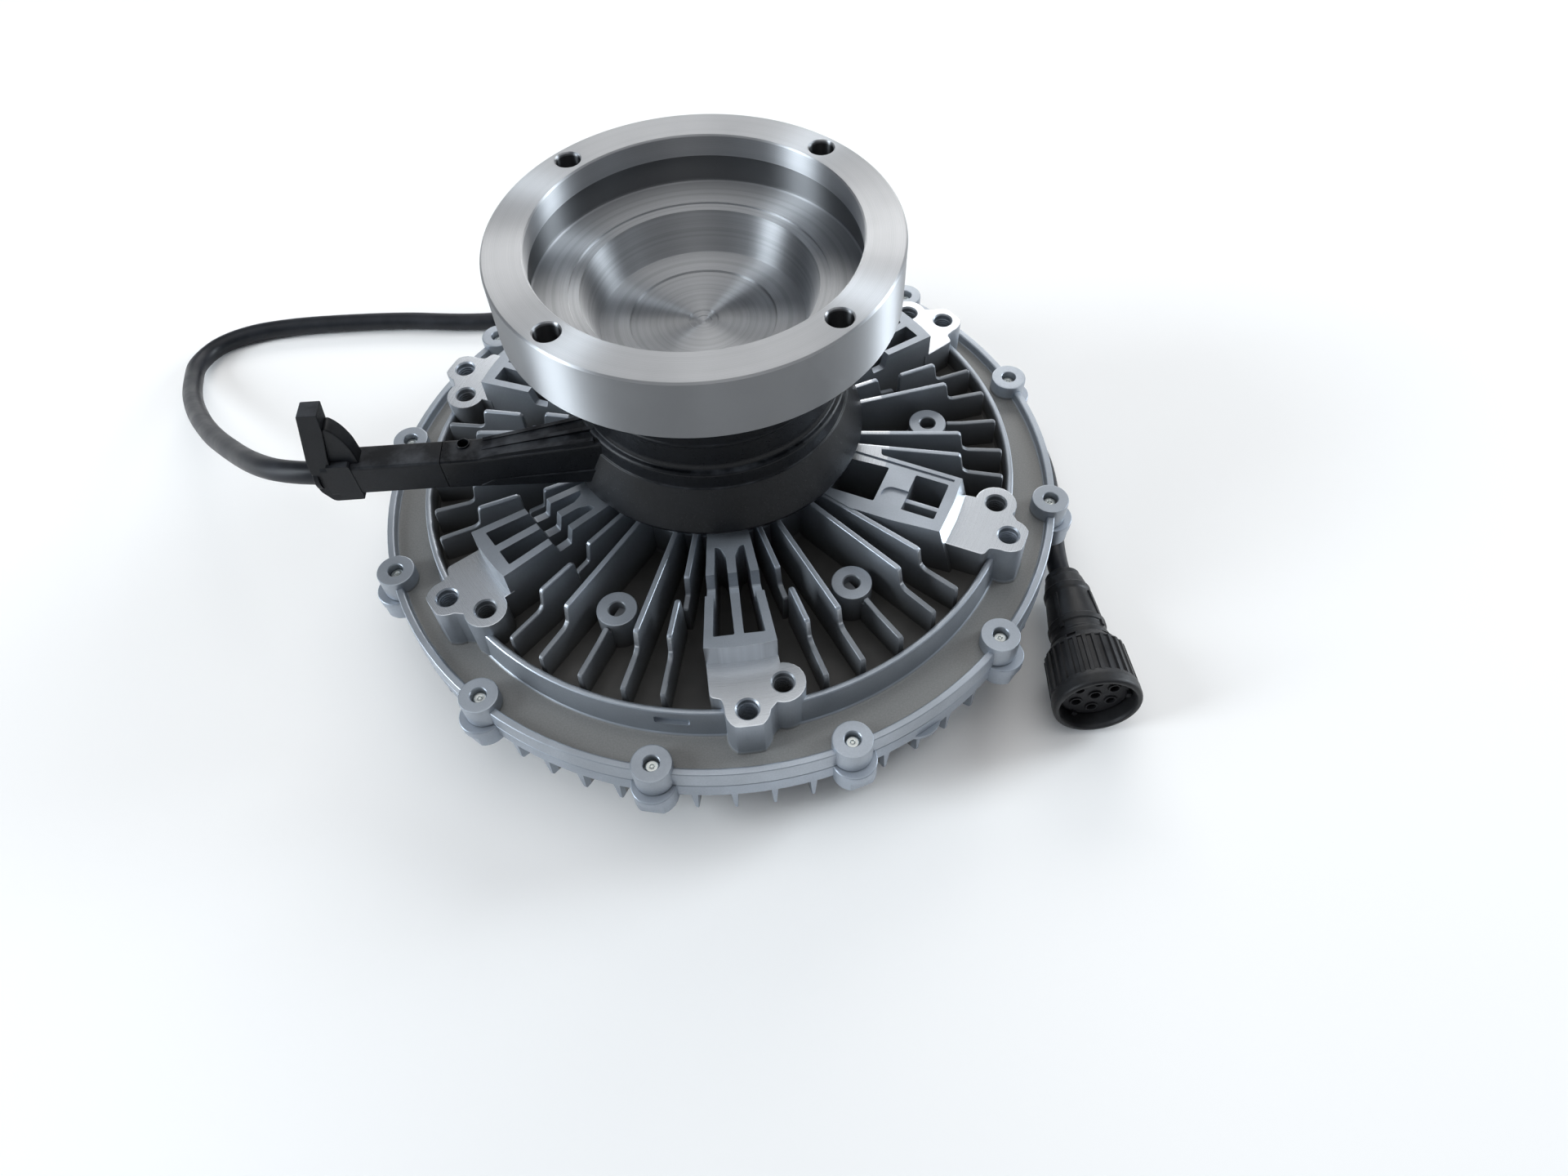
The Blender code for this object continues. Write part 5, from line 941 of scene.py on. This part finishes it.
class CLUTCH_OT_front_cover(bpy.types.Operator):
    """Front cover: ring, radial fins and lugs"""

    bl_idname = "clutch.front_cover"
    bl_label = "Front Cover"

    def execute(self, context):
        settings = context.scene.clutch_castings
        profile = [
            (0.0, 14.5), (60.0, 14.5, 2.0), (60.0, 22.5), (64.0, 22.5), (64.0, 24.5), (127.0, 24.5), (127.0, 35.7),
            (132.6, 35.7), (132.6, 33.5), (135.4, 33.5), (135.4, 35.7), (142.8, 35.7, 0.4), (142.8, 27.5, 1.2),
            (131.0, 27.5, 2.0), (131.0, 19.5, 1.5), (69.0, 19.5, 3.0), (60.0, 9.5, 3.0), (26.0, 9.5, 2.5),
            (22.0, 1.0, 0.4), (21.0, 0.0, 0.4), (0.0, 0.0),
        ]
        cover = turned("cover_casting", profile, settings.spin_steps)
        fin_profile = [(72.0, 20.5), (72.0, 0.0, 1.5), (114.5, 0.0, 2.0), (141.4, 13.7, 0.8), (142.0, 15.0, 0.6),
                       (142.0, 28.4), (130.0, 28.4), (130.0, 20.5)]
        wall = slab("cover_fin", fin_profile, "XZ", -1.4, 1.4)
        stretch(wall, lambda v: v.z < 16.0, (1.0, 0.42, 1.0))
        bevel(wall, lambda m, d: m.z < 16.0 and abs(d.y) < 0.2 and abs(m.y) > 0.1, 0.3, 2)
        every = [-99.3 + 6.0 * i for i in range(60)]
        clear = [a for a in every if abs((a + 105.0 + 15.0) % 30.0 - 15.0) > 3.0]
        fins = copies(wall, [turn(a) for a in clear])
        outline = [(136.5, -8.5)]
        outline += [(142.5 + x, y) for x, y in (on_circle(8.5, d) for d in range(-90, 91, 12))]
        outline += [(136.5, 8.5)]
        lug = slab("cover_lug", outline, "XY", 25.5, 35.7)
        boolean(lug, rod("lug_bore", SCREW_BORE, 24.0, 40.0, (LUG_CIRCLE, 0.0), 24))
        bevel(lug, lambda m, d: m.x > 141.0 and abs(d.z) < 0.1 and math.hypot(m.x - LUG_CIRCLE, m.y) > 4.0, 0.7, 3)
        boolean(lug, slab("flat", [(149.6, -10.0), (156.0, -10.0), (156.0, 10.0), (149.6, 10.0)], "XY", 24.0, 31.6))
        lugs = copies(lug, [turn(a) for a in LUG_AZIMUTHS])
        boolean(cover, join(*[rod("bore", SCREW_BORE, 20.0, 40.0, on_circle(LUG_CIRCLE, a), 24) for a in LUG_AZIMUTHS]))
        lump = rod("lump", 10.0, 26.5, 29.5, (134.8, 0.0), 48)
        bevel(lump, lambda m, d: m.z < 26.6 and abs(d.z) < 0.1, 1.2, 3)
        cover = join(cover, fins, lugs, place(lump, turn(-62.0)))
        paint = casting("cover_cast_aluminium", settings.cover_colour, settings.trough_colour, settings.cut_colour,
                        settings.cover_colour)
        dress(cover, "cover_casting", paint, "housing", ["front_cover"])
        return {"FINISHED"}


class CLUTCH_OT_screws(bpy.types.Operator):
    """The twelve screws that hold the cover"""

    bl_idname = "clutch.screws"
    bl_label = "Cover Screws"

    def execute(self, context):
        paint = plated("zinc_plate", (0.7, 0.73, 0.71))
        profile = [
            (0.0, 23.2), (2.3, 23.2), (2.5, 20.3, 0.2), (4.7, 20.2, 0.4), (5.2, 21.0, 0.4), (5.2, 25.2, 0.3),
            (2.8, 25.2, 0.3), (2.8, 43.7, 0.2), (2.2, 44.5, 0.2), (0.9, 44.5, 0.2), (0.6, 43.9), (0.0, 43.8),
        ]
        for number, azimuth in enumerate(LUG_AZIMUTHS, 1):
            screw = turned("screw", profile, 28)
            screw = join(screw, *ridges((0.0, 0.0), 36.5, 8, 1.0, (2.72, 0.26), (20, 4)))
            place(screw, Matrix.Translation((*on_circle(LUG_CIRCLE, azimuth), 0.0)) @ turn(azimuth * 1.7))
            node = f"cover_screw_{number:02d}"
            dress(screw, f"lug_screw_{number:02d}", paint, "housing", [node])
        return {"FINISHED"}


# ---- Drive flange and coil ----


class CLUTCH_OT_drive_flange(bpy.types.Operator):
    """Drive flange and shaft, one turned piece with four holes"""

    bl_idname = "clutch.drive_flange"
    bl_label = "Drive Flange"

    def execute(self, context):
        settings = context.scene.clutch_drive
        profile = [
            (0.0, 127.8), (2.7, 127.8, 0.15), (3.0, 128.2, 0.1), (5.1, 128.2, 0.15), (5.6, 128.7, 0.1),
            (16.0, 128.62, 0.1), (26.6, 128.7, 0.1), (27.0, 129.5, 0.1), (37.7, 129.5, 0.5), (42.7, 144.7, 0.1),
            (46.4, 144.7, 0.1), (46.5, 145.5, 0.1), (59.3, 145.5, 0.4), (60.1, 146.3, 0.4), (60.1, 156.9, 0.4),
            (59.3, 157.5, 0.3), (57.8, 157.5, 0.1), (57.7, 165.4, 0.1), (58.2, 166.0, 0.1), (71.3, 166.0, 0.15),
            (72.0, 165.3, 0.15), (72.0, 142.6, 0.2), (71.4, 142.0, 0.2), (59.5, 142.0, 3.5), (49.2, 134.0, 4.0),
            (46.8, 123.5, 0.8), (22.0, 123.5, 0.6), (22.0, 112.9), (17.5, 112.9, 0.3), (17.5, 52.0, 0.3),
            (14.0, 52.0, 0.3), (14.0, 32.0, 0.3), (11.0, 32.0), (11.0, 26.4, 0.4), (10.4, 25.7), (0.0, 25.7),
        ]
        flange = turned("flange_and_shaft", profile, 192)
        spots = [on_circle(BOLT_CIRCLE, BOLT_AZIMUTH + 90.0 * i) for i in range(4)]
        boolean(flange, join(*[rod("bolt_hole", BOLT_RADIUS, 128.0, 165.6, spot, 40, wide=0.6) for spot in spots]))
        paint = lathed("turned_bright_steel", settings.steel_colour, (0.42, 0.5), 5200.0, 0.97, flange=True)
        dress(flange, "flange_and_shaft", paint, "shaft", ["drive_flange"])
        smooth(flange, 22.0)
        return {"FINISHED"}


class CLUTCH_OT_coil(bpy.types.Operator):
    """Coil housing with its ribbed arm, and the cable guide"""

    bl_idname = "clutch.coil"
    bl_label = "Coil Housing and Guide"

    def execute(self, context):
        settings = context.scene.clutch_coil
        profile = [
            (24.0, 117.2), (47.3, 117.2), (47.3, 98.5), (54.3, 76.5, 0.3), (59.2, 76.5, 0.6), (60.0, 77.8, 0.8),
            (58.2, 83.0, 2.0), (55.6, 90.0, 2.5), (53.6, 95.8, 0.4), (53.0, 96.0, 0.3), (52.6, 101.8, 0.6),
            (51.9, 102.5, 0.4), (50.4, 102.5, 0.7), (49.9, 104.6, 0.6), (49.5, 113.0), (49.9, 113.3, 0.2),
            (49.9, 114.6, 0.2), (49.5, 115.0), (49.5, 120.9, 0.6), (48.5, 121.9, 0.4), (24.0, 121.9),
        ]
        case = turned("coil_case", profile, 144, True)
        side = [(42.0, 80.0), (104.0, 80.0), (104.0, 95.0), (90.0, 95.0, 3.0), (42.0, 102.0)]
        arm = slab("arm", side, "XZ", -8.0, 8.0)
        stretch(arm, lambda v: v.x > 80.0, (1.0, 0.75, 1.0))
        shift(arm, lambda v: v.x < 43.0 and v.y < 0.0, (4.6, 0.0, 0.0))
        shift(arm, lambda v: v.x < 43.0 and v.y > 0.0, (-3.2, 0.0, 0.0))
        bevel(arm, lambda m, d: abs(d.x) > 0.8, 1.6, 3)
        corners = [(94.2, -4.6, 0.5), (98.0, -4.6, 0.5), (98.0, -0.8, 0.5), (94.2, -0.8, 0.5)]
        boolean(arm, slab("latch", corners, "XY", 90.0, 99.0))
        brow = turned("brow", [(1.9, 94.4), (2.7, 94.4), (2.5, 95.7, 0.2), (2.1, 95.7, 0.2)], 24, True)
        place(brow, Matrix.Translation((96.1, -2.7, 0.0)))
        ribs = []
        height = settings.rib_height / MM
        shape = [(45.0, 96.0), (45.0, 101.4 + height, 0.4), (82.0, 95.4 + height, 2.0), (89.5, 95.2, 1.0), (89.5, 92.0)]
        for middle in (-0.39, 0.02, 0.4):
            rib = slab("rib", shape, "XZ", middle * 16.0 - 0.85, middle * 16.0 + 0.85)
            shift(rib, lambda v: v.x > 80.0, (0.0, -middle * 4.6, 0.0))
            bevel(rib, lambda m, d: m.z > 95.5 and abs(d.x) > 0.8, 0.5, 2)
            ribs.append(rib)
        cheek = slab("cheek", [(41.0, 81.6), (92.0, 81.6, 0.8), (86.0, 84.6, 1.0), (41.0, 88.5)], "XZ", 5.2, 8.9)
        shift(cheek, lambda v: v.x > 80.0, (0.0, -1.9, 0.0))
        shift(cheek, lambda v: v.x < 42.0, (-2.0, 0.0, 0.0))
        bevel(cheek, lambda m, d: m.y > 5.0 and abs(d.x) > 0.8, 0.9, 3)
        spigot = slab("spigot", [(103.0, -3.7), (114.0, -3.7, 0.4), (114.0, 3.7, 0.4), (103.0, 3.7)], "XY", 83.8, 91.2)
        case = join(case, place(join(arm, *ribs, cheek, spigot, brow), ARM_PLACE))
        black = moulded("coil_case_moulding", settings.case_colour, 0.32, 1500.0, 0.14)
        dress(case, "coil_case", black, "coil", ["coil_housing"])

        sleeve = slab("guide_sleeve", [(104.3, 80.0), (149.0, 80.0), (149.0, 95.0), (104.3, 95.0)], "XZ", -6.0, 6.0)
        bevel(sleeve, lambda m, d: abs(d.x) > 0.8, 1.8, 3)
        boolean(sleeve, slab("socket", [(103.0, -4.0), (115.0, -4.0), (115.0, 4.0), (103.0, 4.0)], "XY", 83.5, 91.5))
        outline = [
            (141.5, 77.0, 0.8), (149.5, 77.0, 1.4), (153.0, 83.0, 1.5), (153.0, 96.0, 4.0), (147.6, 121.0, 0.5),
            (140.2, 121.0, 0.5), (141.4, 112.0, 1.0), (144.5, 98.0, 2.0), (144.5, 84.0, 1.0),
        ]
        tab = slab("tab", outline, "XZ", -3.9, 3.9)
        stretch(tab, lambda v: v.z < 100.0, (1.0, 1.3, 1.0))
        stretch(tab, lambda v: v.z < 84.0, (1.0, 1.12, 1.0))
        bevel(tab, lambda m, d: abs(m.y) > 3.6 and abs(d.y) < 0.3, 0.5, 2)
        outline = [
            (146.0, 80.0), (146.0, 111.0), (140.4, 113.6, 0.8), (138.6, 111.8, 1.4), (136.6, 108.4, 1.8),
            (135.0, 103.0, 2.0), (134.4, 94.0), (137.6, 80.0),
        ]
        gusset = slab("gusset", outline, "XZ", -3.4, 3.4)
        bevel(gusset, lambda m, d: abs(abs(m.y) - 3.4) < 0.05 and abs(d.y) < 0.1 and m.x < 145.0, 0.6, 2)
        collar_box = slab("collar_box", [(137.5, 77.6, 1.0), (146.0, 77.6), (146.0, 96.4), (137.5, 96.4, 1.5)],
                          "XZ", -6.2, 6.2)
        bevel(collar_box, lambda m, d: abs(d.x) > 0.8, 0.9, 2)
        lay = Matrix.Translation((0.0, 0.0, LEAD_HEIGHT)) @ Matrix.Rotation(math.radians(90.0), 4, "Y")
        for obj in (sleeve, tab, gusset, collar_box):
            boolean(obj, place(rod("bore", 5.1, 114.5, 154.5, sides=40), lay))
        collar = turned("collar", [(4.75, 151.0), (6.4, 151.0), (6.4, 153.0, 0.5), (4.75, 153.0, 0.3)], 40, True)
        place(collar, lay)
        guide = place(join(sleeve, tab, gusset, collar_box, collar), ARM_PLACE)
        plastic = moulded("guide_moulding", (0.006, 0.007, 0.0095), 0.46, 1300.0, 0.14)
        dress(guide, "arm_cable_guide", plastic, "coil", ["cable_guide"])
        return {"FINISHED"}


class CLUTCH_OT_inner_finishes(bpy.types.Operator):
    """Finishes of the pieces inside, which keep their solids"""

    bl_idname = "clutch.inner_finishes"
    bl_label = "Inner Finishes"

    def execute(self, context):
        ground = lathed("ground_bearing_steel", (0.56, 0.57, 0.6), (0.1, 0.18), 3000.0, 0.3)
        iron = lathed("soft_iron_turned", (0.3, 0.3, 0.31), (0.35, 0.5), 2600.0, 0.3)
        brass = plated("brass_cage", (0.62, 0.47, 0.2), 0.3)
        zinc = plated("zinc_pressing", (0.66, 0.69, 0.67))
        spring = plated("blued_spring_steel", (0.1, 0.11, 0.14), 0.3)
        rotor = lathed("rotor_machined", (0.55, 0.57, 0.6), (0.25, 0.38), 2400.0, 0.4)
        seal = moulded("seal_rubber_black", (0.02, 0.02, 0.02), 0.7, 900.0, 0.0)
        winding = Finish("enamelled_wire")
        wires = winding.node("TexWave", wave_type="BANDS", bands_direction="Z")
        wires.inputs["Scale"].default_value = 1000.0
        winding.links.new(winding.where, wires.inputs["Vector"])
        base = winding.mix(wires.outputs["Fac"], (0.24, 0.07, 0.03), (0.62, 0.25, 0.1))
        copper = winding.done(base, 0.35, 0.8, winding.bump(wires.outputs["Fac"], 0.6, 0.3))
        finishes = {
            ground: ["main_bearing_inner_race", "main_bearing_outer_race", "coil_bearing_inner_race",
                     "coil_bearing_outer_race"],
            iron: ["coil_core", "flux_ring", "bearing_spacer", "valve_armature"],
            brass: ["main_bearing_cage", "coil_bearing_cage"],
            zinc: ["reservoir_plate", "valve_pin", "rotor_nut"],
            spring: ["main_bearing_circlip", "coil_bearing_circlip", "valve_lever"],
            rotor: ["rotor_disc"],
            seal: ["cover_seal"],
            copper: ["coil_winding"],
        }
        for paint, names in finishes.items():
            for name in names:
                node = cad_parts[name]
                node.data.materials.clear()
                node.data.materials.append(paint)
        return {"FINISHED"}


# ---- Camera, floor and light ----


def lamp(name, size, power, spot, aim, colour):
    """A soft lamp that the camera doesn't see."""
    data = bpy.data.lights.new(name, "AREA")
    data.shape = "RECTANGLE"
    data.size, data.size_y = size
    data.energy = power
    data.color = colour
    obj = bpy.data.objects.new(name, data)
    obj.location = spot
    obj.rotation_euler = (Vector(aim) - Vector(spot)).to_track_quat("-Z", "Y").to_euler()
    obj.visible_camera = False
    bpy.context.scene.collection.objects.link(obj)


class CLUTCH_OT_stage(bpy.types.Operator):
    """Camera at the photograph's viewpoint, pale floor and soft lamps"""

    bl_idname = "clutch.stage"
    bl_label = "Stage"

    def execute(self, context):
        scene = context.scene
        strength = scene.clutch_stage.light
        data = bpy.data.cameras.new("photo_camera")
        data.sensor_fit = "HORIZONTAL"
        data.sensor_width = 36.0
        data.lens = FOCAL_PIXELS / PHOTO_WIDTH * data.sensor_width
        data.clip_start = 0.01
        data.clip_end = 50.0
        camera = bpy.data.objects.new("photo_camera", data)
        right = Vector((0.99259903, -0.11879558, -0.02519463))
        upward = Vector((0.1117967, 0.81289773, 0.5715757))
        forward = Vector((0.04742001, 0.57016217, -0.82016245))
        turned_to = Matrix((right, upward, -forward)).transposed().to_4x4()
        camera.matrix_world = Matrix.Translation((0.0, -0.302196, 0.386169)) @ turned_to
        scene.collection.objects.link(camera)
        scene.camera = camera
        scene.view_settings.view_transform = "Standard"

        select_none()
        bpy.ops.mesh.primitive_plane_add(size=14.0, location=(0.0, 0.0, 0.0))
        floor = context.object
        floor.name = "studio_floor"
        paint = bpy.data.materials.new("pale_floor")
        paint.use_nodes = True
        shader = paint.node_tree.nodes["Principled BSDF"]
        shader.inputs["Base Color"].default_value = (0.985, 0.97, 0.95, 1.0)
        shader.inputs["Roughness"].default_value = 0.9
        floor.data.materials.append(paint)

        world = bpy.data.worlds.new("studio")
        scene.world = world
        world.use_nodes = True
        nodes, links = world.node_tree.nodes, world.node_tree.links
        direction = nodes.new("ShaderNodeTexCoord")
        parts = nodes.new("ShaderNodeSeparateXYZ")
        links.new(direction.outputs["Generated"], parts.inputs[0])
        horizon = nodes.new("ShaderNodeMix")
        sky = nodes.new("ShaderNodeMix")
        horizon.data_type = sky.data_type = "RGBA"
        horizon.inputs[6].default_value = (0.16, 0.165, 0.18, 1.0)
        horizon.inputs[7].default_value = (0.7, 0.73, 0.77, 1.0)
        sky.inputs[7].default_value = (0.16, 0.175, 0.2, 1.0)
        for mix, axis, low, high in ((horizon, "Y", -0.75, 0.2), (sky, "Z", 0.02, 0.24)):
            step = nodes.new("ShaderNodeMapRange")
            step.interpolation_type = "SMOOTHSTEP"
            step.inputs[1].default_value = low
            step.inputs[2].default_value = high
            links.new(parts.outputs[axis], step.inputs[0])
            links.new(step.outputs[0], mix.inputs[0])
        links.new(horizon.outputs[2], sky.inputs[6])
        links.new(sky.outputs[2], nodes["Background"].inputs["Color"])

        target = (0.0, 0.0, 0.08)
        lamp("window_left", (0.55, 1.3), 24.0 * strength, (-1.6, -0.3, 0.72), target, (0.85, 0.93, 1.0))
        lamp("window_right", (0.45, 1.2), 19.0 * strength, (1.6, 0.3, 0.62), target, (0.85, 0.93, 1.0))
        lamp("window_back", (2.0, 0.8), 20.0 * strength, (0.35, 2.0, 1.2), target, (1.0, 0.99, 0.97))
        lamp("ceiling", (2.4, 2.4), 20.0 * strength, (0.1, 0.1, 2.3), target, (1.0, 0.99, 0.97))
        return {"FINISHED"}


class CLUTCH_PT_panel(bpy.types.Panel):
    """Lists the steps in the order they are made"""

    bl_label = "Fan Clutch"
    bl_idname = "CLUTCH_PT_panel"
    bl_space_type = "VIEW_3D"
    bl_region_type = "UI"
    bl_category = "Fan Clutch"

    def draw(self, context):
        layout = self.layout
        for step in STEPS:
            layout.operator(step.bl_idname)
        for name, kind in GROUPS.items():
            box = layout.box()
            for key in kind.__annotations__:
                box.prop(getattr(context.scene, name), key)


STEPS = (
    CLUTCH_OT_stage,
    CLUTCH_OT_plug,
    CLUTCH_OT_lead,
    CLUTCH_OT_rear_housing,
    CLUTCH_OT_front_cover,
    CLUTCH_OT_screws,
    CLUTCH_OT_drive_flange,
    CLUTCH_OT_coil,
    CLUTCH_OT_inner_finishes,
)
GROUPS = {
    "clutch_castings": ClutchCastings,
    "clutch_drive": ClutchDrive,
    "clutch_coil": ClutchCoil,
    "clutch_lead": ClutchLead,
    "clutch_stage": ClutchStage,
}


def register():
    for group in GROUPS.values():
        bpy.utils.register_class(group)
    for name, group in GROUPS.items():
        setattr(bpy.types.Scene, name, PointerProperty(type=group))
    for step in STEPS:
        bpy.utils.register_class(step)
    bpy.utils.register_class(CLUTCH_PT_panel)


def unregister():
    bpy.utils.unregister_class(CLUTCH_PT_panel)
    for step in reversed(STEPS):
        bpy.utils.unregister_class(step)
    for name in GROUPS:
        delattr(bpy.types.Scene, name)
    for group in reversed(list(GROUPS.values())):
        bpy.utils.unregister_class(group)


def main():
    register()
    bpy.ops.clutch.stage()
    bpy.ops.clutch.plug()
    bpy.ops.clutch.lead()
    bpy.ops.clutch.rear_housing()
    bpy.ops.clutch.front_cover()
    bpy.ops.clutch.screws()
    bpy.ops.clutch.drive_flange()
    bpy.ops.clutch.coil()
    bpy.ops.clutch.inner_finishes()


if __name__ == "__main__":
    main()
